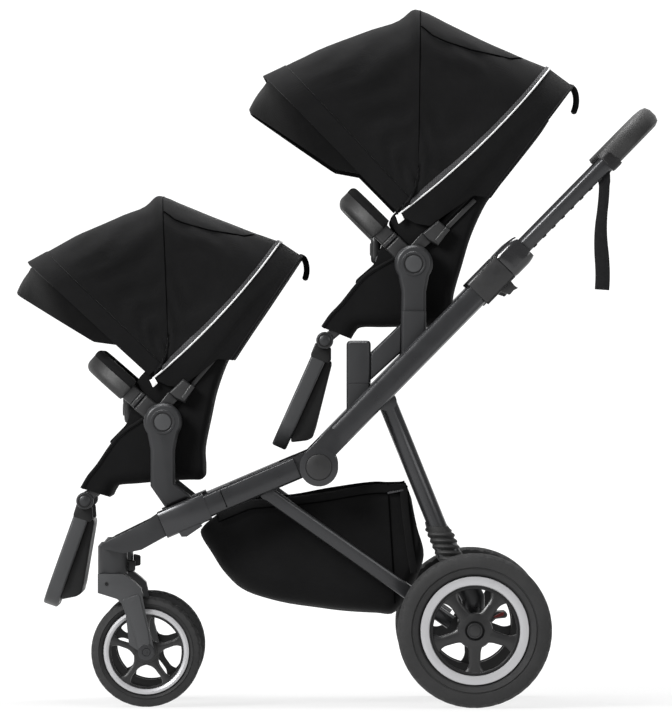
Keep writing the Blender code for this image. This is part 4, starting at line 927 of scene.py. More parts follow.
# Seats: pad, harness and hardware

PUFF_STEPS, PUFF_VOXEL, PUFF_PRESSURE, PUFF_CAP = 20, 0.005, 4.0, 0.006
PAD_LINE = [(-0.098, -0.082), (-0.060, -0.082), (0.000, -0.084), (0.030, -0.078), (0.042, -0.050),
            (0.050, -0.010), (0.064, 0.045), (0.088, 0.096), (0.120, 0.138), (0.172, 0.206)]
PAD_SEAMS = [(-0.030, -0.082), (0.046, -0.030), (0.058, 0.020), (0.076, 0.072), (0.104, 0.118), (0.140, 0.164),
             (0.172, 0.206)]
PAD_THICK, PAD_HALF = 0.015, 0.137
SEAM_WIDTH, CROSS_SEAM_DEPTH, LONG_SEAM_DEPTH, LONG_SEAM_Y = 0.0035, 0.0030, 0.0022, 0.062


def bake_shape(obj):
    """Applies an object's modifiers to its mesh."""
    bpy.context.view_layer.update()
    shaped = bpy.data.meshes.new_from_object(obj.evaluated_get(bpy.context.evaluated_depsgraph_get()))
    obj.modifiers.clear()
    obj.data = shaped


def puffed(obj):
    """Swells a closed shape as a stuffed cover does: a cloth simulation whose movement is capped."""
    remesh = obj.modifiers.new("voxels", "REMESH")
    remesh.mode = "VOXEL"
    remesh.voxel_size = PUFF_VOXEL
    bake_shape(obj)
    rest = np.array([v.co for v in obj.data.vertices], float)
    cloth = obj.modifiers.new("puff", "CLOTH")
    cloth.settings.quality = 5
    cloth.settings.use_pressure = True
    cloth.settings.uniform_pressure_force = PUFF_PRESSURE
    cloth.settings.effector_weights.gravity = 0
    scene = bpy.context.scene
    for step in range(1, PUFF_STEPS + 1):
        scene.frame_set(step)
    swollen = obj.evaluated_get(bpy.context.evaluated_depsgraph_get()).data
    shift = np.array([v.co for v in swollen.vertices], float) - rest
    obj.modifiers.remove(cloth)
    scene.frame_set(1)
    far = np.linalg.norm(shift, axis=1, keepdims=True)
    shift *= np.minimum(1.0, PUFF_CAP / np.maximum(far, 1e-9))
    obj.data.vertices.foreach_set("co", (rest + shift).ravel())


def channels(obj, lines, depth):
    """Presses sewn channels into a pad, along planes that are given by a point and a direction."""
    normals = np.array([v.normal for v in obj.data.vertices], float)
    points = np.array([v.co for v in obj.data.vertices], float)
    for at, way in lines:
        distance = (points - np.array(at)) @ np.array(way)
        points -= normals * (depth * np.exp(-(distance / SEAM_WIDTH) ** 2))[:, None]
    obj.data.vertices.foreach_set("co", points.ravel())
    obj.data.update()


def rear_pad():
    seat, rows = SEATS["rear"], []
    for i, point in enumerate(curve([(x, z, 0) for x, z in PAD_LINE], 5)):
        half = PAD_HALF * (0.82 + 0.18 * math.sin(math.pi * min(1.0, (i + 2) / 10) / 2))
        rows.append([seat_at(seat, (point.x, point.y), half * t) for t in span(-1, 1, 26)])
    pad = thick("rear_seat_pad", rows, PAD_THICK)
    puffed(pad)
    divide = pad.modifiers.new("finer", "SUBSURF")
    divide.levels = divide.render_levels = 1
    bake_shape(pad)
    seams = [seat_at(seat, point) for point in PAD_SEAMS]
    channels(pad, [(a, (b - a).normalized()) for a, b in zip(seams, seams[1:])], CROSS_SEAM_DEPTH)
    channels(pad, [((0, y, 0), (0, 1, 0)) for y in (-LONG_SEAM_Y, LONG_SEAM_Y)], LONG_SEAM_DEPTH)
    return pad


def front_pad(model):
    """The rear seat's pad at the front seat's own size and place."""
    pad = added("front_seat_pad", model.data.copy())
    for vertex in pad.data.vertices:
        local = vertex.co - SEATS["rear"]["hub"]
        vertex.co = seat_at(SEATS["front"], (local.x, local.z), local.y)
    return pad


def seat_pads():
    model = rear_pad()
    for prefix in SEATS:
        pad = model if prefix == "rear" else front_pad(model)
        dressed(pad, "pad", prefix + "_seat", sharp=180)


STRAP_WIDE, STRAP_THIN, CROTCH_WIDE = 0.025, 0.0016, 0.034
SHOULDER = [(0.146, 0.196, 0.052), (0.120, 0.160, 0.051), (0.082, 0.104, 0.050), (0.044, 0.040, 0.046),
            (0.006, -0.004, 0.038), (-0.034, 0.002, 0.026), (-0.056, 0.022, 0.016)]
WAIST = [(0.034, -0.060, 0.128), (0.010, -0.046, 0.110), (-0.024, -0.024, 0.066), (-0.054, 0.010, 0.018)]
CROTCH = [(-0.046, -0.080, 0), (-0.056, -0.060, 0), (-0.061, -0.030, 0), (-0.062, 0.004, 0)]
BUCKLE, LOOP_AT = (-0.062, 0.026), (-0.052, 0.006)
KNOB = [(0.0105, 0), (0.0105, 0.0018), (0.0088, 0.0026), (0.0, 0.0022)]
STRAP_LOOP = [(0.0095, -0.001), (0.0115, -0.001), (0.0115, 0.001), (0.0095, 0.001)]


def strap(prefix, name, stations, sign, width, side=ACROSS):
    """A strap through stations of x, z and the distance from the middle. Gives its path."""
    path = curve([seat_at(SEATS[prefix], (x, z), sign * y) for x, z, y in stations], 6)
    obj = swept("%s_%s" % (prefix, name), path, oval(width, STRAP_THIN, STRAP_THIN * 0.45, 2), side)
    dressed(obj, "webbing", prefix + "_seat", sharp=50)
    return path


def strap_pad(prefix, name, path, section, end):
    stuffed("%s_%s" % (prefix, name), path, section, ACROSS, end, "pad", prefix + "_seat")


def harness(prefix):
    seat, body = SEATS[prefix], prefix + "_seat"
    for label, side in SIDES.items():
        line = strap(prefix, "shoulder_strap_" + label, SHOULDER, side, STRAP_WIDE)
        strap_pad(prefix, "strap_cover_" + label, line[3:20], oval(0.040, 0.009, 0.0040, 4, 0.001), 0.012)
        strap(prefix, "waist_strap_" + label, WAIST, side, STRAP_WIDE, (0.5, 0, 0.8))
    line = strap(prefix, "crotch_strap", CROTCH, 1, CROTCH_WIDE)
    strap_pad(prefix, "crotch_pad", line[4:17], oval(0.044, 0.011, 0.0050, 4, 0.001), 0.014)
    centre = seat_at(seat, BUCKLE)
    up = (seat_at(seat, (0, 1)) - seat_at(seat, (0, 0))).normalized()
    path = [centre + up * d for d in span(-0.024, 0.024, 12)]
    case = swept("case", path, oval(0.042, 0.015, 0.006, 4, 0.001), ACROSS, rounded_ends(path, 0.008))
    knob = lathed("knob", KNOB, centre - Vector((0.0072, 0, 0)), (-1, 0, 0), 32, closed=False)
    dressed(joined(prefix + "_buckle", [case, knob]), "plastic", body)
    for label, side in SIDES.items():
        round_part("%s_strap_loop_%s" % (prefix, label), STRAP_LOOP, seat_at(seat, LOOP_AT, side * 0.030),
                   (0, 1, 0.3), "steel", body, (), 32, True)


LEG_IN, LEG_OUT, LEG_FACET = 0.1833, 0.2065, 0.0064
HEAD_RADIUS, NECK = 0.0316, 0.0203
FOOT = {"rear": [(-0.0209, -0.0778), (0.0203, -0.0778)],
        "front": [(-NECK, -0.1052), (0.0050, -0.1416), (0.0479, -0.1233), (NECK, -0.1010)]}
HUB_RING = [(0.0160, -0.0004), (0.0160, 0.0006), (0.0168, 0.0012), (0.0196, 0.0012), (0.0206, 0.0004),
            (0.0206, -0.0004)]
# A black ring round the recline button: painted shade in the gap between the button and its pocket.
BUTTON_SHADE_RING = [(0.0142, 0.0002), (0.0161, 0.0002), (0.0161, -0.001), (0.0142, -0.001)]
RECLINE_BUTTON = [(0.0, -0.006), (0.0140, -0.006), (0.0140, 0.0004), (0.0132, 0.0014), (0.0110, 0.0017),
                  (0.0060, 0.0022), (0.0, 0.0024)]


def seat_legs(prefix):
    hub, body, foot = SEATS[prefix]["hub"], prefix + "_seat_base", FOOT[prefix]
    outline = [(HEAD_RADIUS * math.cos(math.radians(a)), HEAD_RADIUS * math.sin(math.radians(a)))
               for a in span(-36, 216, 40)]
    outline += [(-0.0225, -0.034), (-NECK, -0.046), *foot, (NECK, -0.046), (0.0225, -0.034)]
    foot_corners = [outline.index(corner) for corner in foot] if prefix == "rear" else []
    for label, side in SIDES.items():
        ends = prefix, label
        leg = chamfered("%s_seat_leg_plate_%s" % ends, [(hub.x + x, hub.z + z) for x, z in outline], side,
                        LEG_IN, LEG_OUT, LEG_FACET, foot_corners)
        dressed(leg, "seat_paint", body, ("%s_seat_leg_%s" % ends,), sharp=24)
        face = hub + ACROSS * (side * LEG_OUT)
        round_part("%s_hub_ring_%s" % ends, HUB_RING, face, side, "seat_paint", body, (), 64, True)
        # The black ring paints the shade of the gap round the button.
        round_part("%s_button_shade_ring_%s" % ends, BUTTON_SHADE_RING, face, side, "black", body, (), 48, True)
        round_part("%s_recline_button_%s" % ends, RECLINE_BUTTON, face, side, "light_paint", "%s_button_%s" % ends,
                   ("%s_hub_button_%s" % ends,))


MOUNT_IN, MOUNT_OUT, MOUNT_FACET = 0.184, 0.2194, 0.0045
POST = (0.0222, 0.0616)
POST_LINE_Z, POST_TOP_Z, POST_LOW_Z, POST_GAP = 0.5331, 0.6028, 0.4740, 0.0004
STAND = [(0.1116, 0.5650), (0.1528, 0.6000), (0.1528, 0.6513), (0.1116, 0.6513)]
LINK = [(0.0610, 0.5820), (0.1120, 0.6311), (0.1120, 0.5838), (0.0610, 0.5375)]
TUBE_BRACKET = [(0.030, 0.4720), (0.150, 0.5950), (0.160, 0.5800), (0.040, 0.4590)]


def seat_mounts():
    """The forked bracket on each upper tube: a free post, the stand of the rear seat's leg and their link."""
    near, far = POST
    cap = [(near, POST_LINE_Z + POST_GAP), (far, POST_LINE_Z + POST_GAP), (far, POST_TOP_Z), (near, POST_TOP_Z)]
    cap[2:] = soft_corners(cap, 0.0065)[10:]
    low = [(near, POST_LOW_Z - 0.006), (far, POST_LOW_Z + 0.030), (far, POST_LINE_Z - POST_GAP),
           (near, POST_LINE_Z - POST_GAP)]
    for label, side in SIDES.items():
        parts = [chamfered("low", low, side, MOUNT_IN, MOUNT_OUT, MOUNT_FACET, (2, 3)),
                 chamfered("cap", cap, side, MOUNT_IN, MOUNT_OUT, MOUNT_FACET, (0, 1)),
                 chamfered("link", LINK, side, MOUNT_IN + 0.004, MOUNT_OUT - 0.003, 0.0030),
                 chamfered("stand", STAND, side, MOUNT_IN, MOUNT_OUT, MOUNT_FACET, (2, 3)),
                 plate("bracket", TUBE_BRACKET, side, MOUNT_IN + 0.012, MOUNT_OUT)]
        dressed(joined("seat_mount_plates_" + label, parts), "seat_paint", "upper_frame",
                ("seat_mount_" + label,), sharp=24)


FRAME_TUBE_Y, FRAME_TUBE_R = 0.1582, 0.0062
BACK_LINE = [(0.0, 0.0), (0.095, 0.105), (0.195, 0.250)]
SOCKET_FROM, SOCKET_TO, COLLAR_TO = 0.026, 0.0505, 0.0600
CLIP = [(0.0135, 0.0500), (0.0410, 0.0722), (0.0592, 0.0560), (0.0400, 0.0300), (0.0240, 0.0390)]
CLIP_ARM = [(-0.006, 0.030), (0.0135, 0.0515), (0.0285, 0.0360), (0.012, 0.022)]
CLIP_STEP = [(0.0400, 0.0330), (0.0600, 0.0560), (0.0535, 0.0620), (0.0345, 0.0395)]
SIDE_BAND = [(0.0480, 0.0580), (0.0985, 0.1090), (0.1040, 0.1035), (0.0535, 0.0525)]
HUB_PLATE = [(0, 0.1503), (0.0300, 0.1503), (0.0304, 0.1520), (0.0304, 0.1815), (0.0292, 0.1829), (0, 0.1829)]
PIVOT_BOSS = [(0, 0.1503), (0.0120, 0.1503), (0.0120, 0.1620), (0.0110, 0.1630), (0, 0.1630)]
KNUCKLE = [(0.0, 0.1366), (0.0140, 0.1366), (0.0142, 0.1380), (0.0142, 0.1640), (0.0134, 0.1655),
           (0.0116, 0.1660), (0.0114, 0.1650), (0.0090, 0.1650), (0.0088, 0.1664), (0.0074, 0.1672),
           (0.0, 0.1677)]
# A black ring on the floor of the knuckle's groove: painted shade in the groove.
KNUCKLE_SHADE_RING = [(0.0088, 0.1649), (0.0115, 0.1649), (0.0115, 0.1656), (0.0088, 0.1656)]


def seat_frame(prefix):
    """The tube frame with its hub plates, bumper sockets, canopy arms and footrest rails, covered in part."""
    seat, body = SEATS[prefix], prefix + "_seat"
    hub, pivot, hinge = seat["hub"], seat["pivot"], seat["hinge"]
    out, lift = heading(seat["bumper_angle"])
    path = filleted([seat_at(seat, p, -FRAME_TUBE_Y) for p in BACK_LINE]
                    + [seat_at(seat, p, FRAME_TUBE_Y) for p in BACK_LINE[::-1]], 0.035, 6)
    arm, rail = [], []
    for shape, end in ((arm, pivot), (rail, hinge)):
        way = (end - hub).normalized()
        shape += bar(hub, way, Vector((-way.z, 0, way.x)), 0, (end - hub).length, 0.009, 0.008)
    socket = bar(hub, out, lift, SOCKET_FROM, SOCKET_TO, 0.0155)
    collar = bar(hub, out, lift, SOCKET_TO + 0.0005, COLLAR_TO, 0.0148)
    clip_arm, clip, step, band = ([seat_at(seat, p) for p in line] for line in (CLIP_ARM, CLIP, CLIP_STEP, SIDE_BAND))
    parts = [tube("tubes", path, FRAME_TUBE_R, 14)]
    for label, side in SIDES.items():
        parts += [lathed("hub_plate", HUB_PLATE, hub, side, 48, closed=False),
                  chamfered("socket", socket, side, 0.1550, 0.1795, 0.0034),
                  chamfered("collar", collar, side, 0.1556, 0.1790, 0.0030),
                  plate("arm", arm, side, 0.1515, 0.1620, 0.0020),
                  lathed("boss", PIVOT_BOSS, pivot, side, 32, closed=False),
                  plate("rail", rail, side, 0.1515, 0.1610, 0.0020),
                  plate("clip_arm", clip_arm, side, 0.1690, 0.1775),
                  chamfered("clip", clip, side, 0.1680, 0.1840, 0.0032),
                  plate("clip_step", step, side, 0.1680, 0.1866, 0.0014),
                  plate("band", band, side, 0.1672, 0.1702, 0.0010)]
        round_part("%s_footrest_knuckle_%s" % (prefix, label), KNUCKLE, hinge, side, "seat_paint", body, (), 40)
        # The black ring paints the shade in the knuckle's groove.
        round_part("%s_knuckle_shade_ring_%s" % (prefix, label), KNUCKLE_SHADE_RING, hinge, side, "black", body, (), 40,
                   True)
    dressed(joined(prefix + "_seat_frame_parts", parts), "plastic", body, (prefix + "_seat_frame",), sharp=30)
    slot = bar(hub + out * 0.0552 - lift * 0.002, out, lift, -0.0022, 0.0022, 0.006)
    for side in SIDES.values():
        dressed(plate("%s_bumper_key_%d" % (prefix, side), slot, side, 0.1780, 0.1798, 0.0006, 2), "gloss", body,
                sharp=30)


BUMPER_Y, BUMPER_FROM, BUMPER_BEND, BUMPER_END = 0.167, 0.0606, 0.062, 0.006
COVER_STEP, PANEL_RISE = 0.004, -0.0118
BUMPER_SEAMS = {"middle": (-0.0008, -0.0148), "lower": (0.0178, 0.004)}


def bumper(prefix):
    """The padded bar: a stiff core end in each socket and a leather-look cover sewn along its inner side."""
    seat, body = SEATS[prefix], prefix + "_bumper"
    hub, across = seat["hub"], ACROSS * BUMPER_Y
    out, lift = heading(seat["bumper_angle"])
    last = hub + out * (seat["bumper_reach"] + 0.004)

    def line(start, steps):
        first = hub + out * start
        return filleted([first - across, last - across, last + across, first + across], BUMPER_BEND, steps)

    core = swept(prefix + "_bumper_core", line(BUMPER_FROM, 16), upright(oval(0.020, 0.029, 0.006, 3)), lift)
    fine, dense = line(BUMPER_FROM + 0.013, 20), []
    for p, q in zip(fine, fine[1:]):
        count = max(1, int((q - p).length / COVER_STEP))
        dense += [p.lerp(q, k / count) for k in range(count)]
    dense.append(fine[-1])
    cover = stuffed(prefix + "_bumper_cover", dense, upright(oval(0.029, 0.0375, 0.0130, 6)), lift, BUMPER_END,
                    "leather", body, (prefix + "_bumper_bar",))
    upper = [(v + PANEL_RISE, u) for u, v in oval(0.0302, 0.0200, 0.0085, 6)]
    panel = stuffed(prefix + "_bumper_panel", dense, upper, lift, BUMPER_END, "fabric", body)
    dressed(core, "plastic", body)
    centre = sum(dense, Vector()) / len(dense)
    for label, (rise, aside) in BUMPER_SEAMS.items():
        seam = [p + lift * rise + (centre - p).normalized() * aside for p in dense[4:-4]]
        cord("%s_bumper_seam_%s" % (prefix, label), seam, 0.0010, "leather", body)


RAIL_TOP, RAIL_LOW = (-0.0078, -0.0235), (-0.0745, -0.1722)
RAIL_Y, RAIL_THICK, RAIL_WIDE, RAIL_BEND = 0.1142, 0.0110, 0.0252, 0.042
LUG_PLATE = [(-0.0154, -0.0036), (-0.0232, -0.0230), (-0.0225, -0.0275), (0.0040, -0.0385), (0.0105, -0.0330),
             (0.0106, -0.0119)]
LUG_EYE = [(0.0, 0.1190), (0.0138, 0.1190), (0.0138, 0.1350), (0.0130, 0.1360), (0.0, 0.1360)]
BOARD_OUTLINE = [(0.0000, -0.0330), (0.0108, -0.0335), (0.0119, -0.0400), (-0.0144, -0.1450),
                 (-0.0199, -0.1612), (-0.0293, -0.1660), (-0.0560, -0.1690), (-0.0560, -0.1560)]
BOARD_HALF, BOARD_RIBS = 0.1080, 5


def footrest(prefix):
    """A flat bar bent to a U, with a dark board in it, on two lugs."""
    seat, body = SEATS[prefix], prefix + "_footrest_board"
    hinge, aside = seat["hinge"], ACROSS * RAIL_Y

    def at_hinge(points):
        return [placed(hinge, point, seat["scale"], seat["tilt"], 0) for point in points]

    top, low = at_hinge([RAIL_TOP, RAIL_LOW])
    path = filleted([top - aside, low - aside, low + aside, top + aside], RAIL_BEND, 14)
    loop = swept(prefix + "_footrest_loop", path, upright(oval(RAIL_THICK, RAIL_WIDE, 0.0035, 4)),
                 (low - top).normalized().cross(ACROSS))
    dressed(loop, "light_paint", body, (prefix + "_footrest",), sharp=50)
    parts = []
    for side in SIDES.values():
        parts += [plate("lug", at_hinge(LUG_PLATE), side, 0.1060, 0.1203, 0.0020),
                  lathed("eye", LUG_EYE, hinge, side, 32, closed=False)]
    parts.append(plate("board", at_hinge(BOARD_OUTLINE), 1, -BOARD_HALF, BOARD_HALF, 0.0045, 4))
    for middle in at_hinge([(-0.0120 - 0.0088 * k, -0.0560 - 0.0215 * k) for k in range(BOARD_RIBS)]):
        parts.append(tube("rib", [middle + Vector((-0.0115, y, 0.0045)) for y in span(-0.086, 0.086, 8)],
                          0.0026, 10))
    dressed(joined(prefix + "_footrest_panel", parts), "black", body, sharp=30)


# Basket

BASKET_STATIONS = [((-0.2040, 0.3030), (-0.1889, 0.3186)), ((-0.2190, 0.2873), (-0.1800, 0.3222)),
                   ((-0.1985, 0.2526), (-0.1600, 0.3310)), ((-0.1764, 0.2213), (-0.1358, 0.3401)),
                   ((-0.1416, 0.1933), (-0.1100, 0.3420)), ((-0.0721, 0.1751), (-0.0654, 0.3459)),
                   ((0.0087, 0.1636), (0.0000, 0.3560)), ((0.0700, 0.1590), (0.0638, 0.3656)),
                   ((0.1024, 0.1600), (0.0900, 0.3660)), ((0.1320, 0.2050), (0.1050, 0.3662)),
                   ((0.1490, 0.2498), (0.1130, 0.3663)), ((0.1380, 0.2960), (0.1160, 0.3664)),
                   ((0.1290, 0.3424), (0.1200, 0.3665))]
BASKET_HALF, BASKET_CORNER = 0.184, 0.035
BINDING = [(0.1160, 0.3600), (0.1180, 0.3300), (0.1240, 0.2800), (0.1330, 0.2200)]
PULL = [(0.0892, 0.3532), (0.1155, 0.3580), (0.1155, 0.3550), (0.0900, 0.3500)]
SEAM_ROW, SEAM_POINTS = 40, 8


def basket():
    rows = shell_rows(BASKET_STATIONS, 5, lambda p, y: Vector((p[0], y, p[1])), BASKET_HALF, BASKET_CORNER,
                      sag=0.010, dip=0.004)
    folds, body = creases("basket", 0.0030), "front_frame"
    rows = [[p + Vector((0, folds(p), folds(p) * 0.5)) for p in row] for row in rows]
    dressed(thick("basket_fabric", rows, 0.0018), "fabric", body, ("basket",), sharp=60)
    for label, side in SIDES.items():
        edge = [row[0 if side < 0 else -1] for row in rows]
        hem = swept("basket_hem_" + label, [p - Vector((0, 0, 0.0075)) for p in edge],
                    oval(0.0042, 0.0135, 0.0018, 3), ACROSS)
        dressed(hem, "fabric", body, sharp=50)
        cord("basket_cord_" + label, [p + Vector((0, side * 0.0022, -0.0150)) for p in edge], 0.0010, "seam", body)
    for label, side in SIDES.items():
        seam = rows[SEAM_ROW][:SEAM_POINTS] if side < 0 else rows[SEAM_ROW][-SEAM_POINTS:]
        cord("basket_seam_" + label, [p + ACROSS * (side * 0.0012) for p in seam], 0.0010, "seam", body)
        strip = swept("basket_binding_" + label, curve([Vector((x, side * 0.1868, z)) for x, z in BINDING], 6),
                      oval(0.0030, 0.0120, 0.0013, 2), ACROSS)
        dressed(strip, "fabric", body, sharp=50)
        dressed(plate("basket_zip_pull_" + label, PULL, side, 0.1862, 0.1885, 0.0006, 2), "tape", body, sharp=30)


# Frame details

FRAME_Y = 0.235
UPPER_POINT, (UPPER_WAY, UPPER_UP) = Vector((0.1215, 0, 0.5623)), heading(45.5)
LOWER_POINT, (LOWER_WAY, LOWER_UP) = Vector((-0.0548, 0, 0.3959)), heading(203.07)
LEG_TOP, LEG_KNEE, LEG_Y = Vector((0.0885, 0, 0.5030)), Vector((0.2195, 0, 0.1800)), 0.203
BOOT_MIDDLE, BOOT_LENGTH, BOOT_RIBS = 0.2585, 0.0535, 5
CUFF_LENGTH = 0.010


def boots():
    way, half, pitch = (LEG_KNEE - LEG_TOP).normalized(), BOOT_LENGTH / 2, BOOT_LENGTH / BOOT_RIBS
    profile = [(0.0155, -half - CUFF_LENGTH), (0.0178, -half - CUFF_LENGTH + 0.0008), (0.0190, -half - 0.0008)]
    for k in range(BOOT_RIBS):
        start = k * pitch - half
        profile.append((0.0188, start + 0.0006))
        profile += [(0.0196 + 0.0030 * math.sin(math.pi * t), start + pitch * (0.10 + 0.80 * t))
                    for t in span(0, 1, 6)]
    profile += [(0.0186, half - 0.0004), (0.0155, half)]
    for label, side in SIDES.items():
        round_part("suspension_bellows_" + label, profile, LEG_TOP + way * BOOT_MIDDLE + ACROSS * (side * LEG_Y), way,
                   "boot", "rear_legs", ("suspension_boot_" + label,), 40, True, 28)


HUB_AT, HUB_OUT = Vector((-0.0237, 0, 0.3951)), 0.2530
HUB_DISC = [(0.0, 0.0016), (0.0190, 0.0016), (0.0206, 0.0010), (0.0212, -0.0004), (0.0212, -0.002), (0.0, -0.002)]
# A black ring round the cap's edge: painted shade in the gap between the cap and the hub.
CAP_SHADE_RING = [(0.0210, -0.001), (0.0210, 0.0004), (0.0222, 0.0004), (0.0222, -0.001)]


def fold_hub_caps():
    """The bare disc that covers each fold hub's bolt, in place of a face with a name."""
    for label, side in SIDES.items():
        face = HUB_AT + ACROSS * (side * HUB_OUT)
        round_part("fold_hub_cap_" + label, HUB_DISC, face, side, "plastic", "upper_frame")
        # The black ring paints the shade of the gap round the cap.
        round_part("fold_hub_shade_ring_" + label, CAP_SHADE_RING, face, side, "black", "upper_frame", (), 64, True)


NOTCH_SPAN, NOTCHES, NOTCH_HALF = (0.288, 0.440), 8, 0.0060
NOTCH = [(-0.0046, 0.0030), (-0.0040, -0.0010), (0.0032, -0.0014), (0.0046, 0.0030)]
INNER_HALF = 0.0125
CUFF, CUFF_SCALES = (0.4650, 0.4850), [0.95, 1.0, 1.0, 1.0, 1.0, 0.96]
LUG_BLOCK = [(0.273966, 0.717289), (0.281363, 0.714002), (0.300265, 0.690332), (0.289581, 0.677347),
             (0.273966, 0.687702), (0.264104, 0.699208)]
LUG_HALF = 0.0100
RED_MARK = [(0.2640, 0.1462), (0.2795, 0.1552), (0.2826, 0.1532), (0.2806, 0.1490), (0.2700, 0.1455)]


def handle_details():
    for label, side in SIDES.items():
        marks = []
        for distance in span(*NOTCH_SPAN, NOTCHES - 1):
            outline = corners(UPPER_POINT + UPPER_WAY * distance - UPPER_UP * INNER_HALF, UPPER_WAY, UPPER_UP, NOTCH)
            marks.append(plate("notch", outline, side, FRAME_Y - NOTCH_HALF, FRAME_Y + NOTCH_HALF, 0.0005, 2))
        dressed(joined("height_notches_" + label, marks), "black", "handle", sharp=30)
        start = UPPER_POINT + ACROSS * (side * FRAME_Y)
        cuff = swept("grip_cuff_" + label, [start + UPPER_WAY * d for d in span(*CUFF, 5)],
                     oval(0.0338, 0.0382, 0.0125, 6), ACROSS, CUFF_SCALES)
        dressed(cuff, "black", "handle", sharp=40)
        lug = plate("slider_lug_" + label, soft_corners(LUG_BLOCK, 0.003), side, FRAME_Y - LUG_HALF,
                    FRAME_Y + LUG_HALF)
        dressed(lug, "plastic", "fold_slider_" + label, sharp=30)
    dressed(plate("brake_mark", soft_corners(RED_MARK, 0.002), -1, 0.1500, 0.1640), "red", "brake", sharp=30)


COLLAR_ENDS, COLLAR_SCALES = (0.2292, 0.2745), [0.96, 1, 1, 1, 1, 1, 0.995, 0.97, 0.93, 0.86]


def measured(name):
    """The vertices of a CAD node, with the lowest and highest corner of their box."""
    points = [NODES[name].matrix_world @ v.co for v in NODES[name].data.vertices]
    return points, *(Vector([pick(p[k] for p in points) for k in range(3)]) for pick in (min, max))


def height_collars():
    """The glossy collar on top of each upper tube, rounded and narrower at its upper end."""
    for label in SIDES:
        points, low, high = measured("height_collar_" + label)
        rises = [(Vector((p.x, 0, p.z)) - UPPER_POINT).dot(UPPER_UP) for p in points]
        start = UPPER_POINT + UPPER_UP * ((max(rises) + min(rises)) / 2) + ACROSS * ((low.y + high.y) / 2)
        shell = swept("collar_shell_" + label, [start + UPPER_WAY * d for d in span(*COLLAR_ENDS, 9)],
                      oval(high.y - low.y, max(rises) - min(rises), 0.0125, 6), ACROSS, COLLAR_SCALES)
        dressed(shell, "gloss", "upper_frame", ("height_collar_" + label,), sharp=40)


STRAP_WIDTH, STRAP_LENGTH, STRAP_GAP = 0.0240, 0.390, 0.0034


def wrist_strap():
    """A loop of webbing that hangs from the handle and swings out a little towards its low end."""
    _, low, high = measured("wrist_strap")
    middle, drop = (low + high) / 2, high.z - low.z - 0.001
    path, scales = [], []
    for sign, shares in ((-1, span(0, 1, 24)), (1, span(1, 0, 24))):
        for t in shares:
            sway = 0.0022 * math.sin(2.6 * math.pi * t + 0.5) - 0.0035 * t
            apart = STRAP_GAP * (0.4 + 0.6 * math.sin(math.pi * min(1.0, t * 1.02)) ** 2)
            if t > 0.995:
                apart *= 0.2
            path.append(Vector((middle.x + 0.0035 + sway, middle.y + sign * apart, high.z - 0.0005 - drop * t)))
            scales.append(0.74 + 0.26 * min(1.0, max(0.0, (t - 0.35) / 0.35)) + (0.10 if t < 0.1 else 0.0))
    loop = swept("wrist_strap_loop", path, oval(STRAP_WIDTH, 0.0014, 0.0005, 2), (1, 0, 0), scales)
    dressed(loop, "webbing", "handle", ("wrist_strap",), sharp=50)


TUBE_MARKS = [(0.1360, 0.0300), (0.1690, 0.0300), (0.1722, 0.0330)]
MARK_IN, MARK_OUT = FRAME_Y + 0.0135, FRAME_Y + 0.0156


def tube_marks():
    """The dark joint lines round the front side tubes, where their castings meet the tube."""
    for label, side in SIDES.items():
        for index, (distance, height) in enumerate(TUBE_MARKS):
            outline = bar(LOWER_POINT + LOWER_WAY * distance, LOWER_WAY, LOWER_UP, -0.0006, 0.0006, height / 2)
            line = plate("tube_mark_%s_%d" % (label, index), outline, side, MARK_IN, MARK_OUT, 0.0002, 2)
            dressed(line, "seam", "front_frame", sharp=30)


FORK_OUT, FORK_EDGE = 0.2375, 0.0016
FORK_PANEL = [(-0.3473, 0.1766), (-0.3194, 0.1864), (-0.3046, 0.1240), (-0.3010, 0.0960), (-0.3030, 0.0860),
              (-0.3120, 0.0850), (-0.3194, 0.0944), (-0.3309, 0.1355), (-0.3420, 0.1640)]
FORK_BOSS = [(0.0, 0.0030), (0.0020, 0.0030), (0.0022, 0.0020), (0.0058, 0.0020), (0.0066, 0.0030),
             (0.0072, 0.0022), (0.0126, 0.0020), (0.0138, 0.0010), (0.0138, -0.002), (0.0, -0.002)]
SCREW = [(0.0, 0.0002), (0.0014, 0.0002), (0.0016, 0.0010), (0.0030, 0.0008), (0.0033, -0.001), (0.0, -0.001)]
SCREW_AT = Vector((-0.3728, 0, 0.2029))


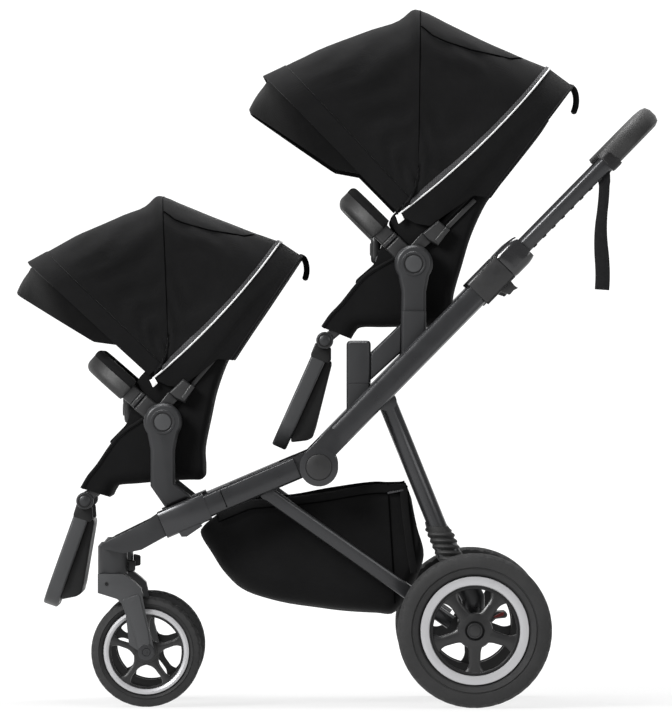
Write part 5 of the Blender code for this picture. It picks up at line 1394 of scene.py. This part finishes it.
def fork_details():
    for label, side in SIDES.items():
        body = "caster_" + label
        for name, shape, out, look in (("edge", inset(FORK_PANEL, FORK_EDGE), 0.0014, "black"),
                                       ("panel", FORK_PANEL, 0.0026, "light_paint")):
            piece = plate("fork_%s_%s" % (name, label), soft_corners(shape, 0.004), side, FORK_OUT - 0.001,
                          FORK_OUT + out, 0.0009)
            dressed(piece, look, body, sharp=30)
        centre = joint_at("front_wheel_spin_" + label)
        face = Vector((centre.x, side * (FORK_OUT + 0.0012), centre.z))
        round_part("fork_boss_" + label, FORK_BOSS, face, side, "paint", body, (), 40)
        round_part("fork_screw_" + label, SCREW, SCREW_AT + ACROSS * (side * FORK_OUT), side, "black", body, (), 24)


# Pieces that keep the CAD's own shape: their look, and by how much their long sharp edges are rounded

KEPT = {
    "upper_tube": ("paint", 0.0110), "fold_slider": ("plastic", 0.0040), "front_tube": ("paint", 0.0085),
    "front_leg": ("seat_paint", 0.0090), "caster_fork": ("light_paint", 0.0035), "caster_lock": ("black", 0),
    "rear_leg": ("paint", 0.0055), "brace": ("paint", 0.0040), "front_cross_tube": ("paint", 0),
    "rear_axle": ("paint", 0), "brake_pedal": ("plastic", 0), "handlebar": ("paint", 0.0060),
    "handle_grip": ("leather", 0),
}
EDGE = 0.0010
LONG_EDGE, LONG_EDGE_DEGREES, LONG_EDGE_SEGMENTS = 0.030, 40, 4


def kept_pieces():
    for stem, (look, width) in KEPT.items():
        for name in [stem] if stem in NODES else ["%s_%s" % (stem, label) for label in SIDES]:
            mesh = NODES[name].data.copy()
            if "custom_normal" in mesh.attributes:
                mesh.attributes.remove(mesh.attributes["custom_normal"])
            piece = added(name + "_shown", mesh)
            if width:
                with editing(piece) as work:
                    cleaned(work, 1e-5, 1)
                    bevelled(work, width, LONG_EDGE_SEGMENTS, LONG_EDGE_DEGREES, LONG_EDGE)
            softened(piece, EDGE)
            dressed(piece, look, NODES[name]["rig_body"], (name,), sharp=32)


# Names of the pieces sewn on the basket

SEWN_ON_BASKET = ["basket_hem", "basket_cord", "basket_binding", "basket_zip_pull"]


def declare_cloth():
    sewn = ["%s_%s" % (stem, label) for label in SIDES for stem in SEWN_ON_BASKET]
    sewn += ["basket_seam_" + label for label in SIDES]


for make in (camera, lights, stage, kept_pieces):
    make()
for prefix in SEATS:
    for make in (canopy, seat_fabric, seat_legs, seat_frame, bumper, footrest):
        make(prefix)
seat_pads()
for prefix in SEATS:
    harness(prefix)
for make in (wheels, seat_mounts, basket, boots, fold_hub_caps, handle_details, height_collars, wrist_strap,
             tube_marks, fork_details, declare_cloth):
    make()
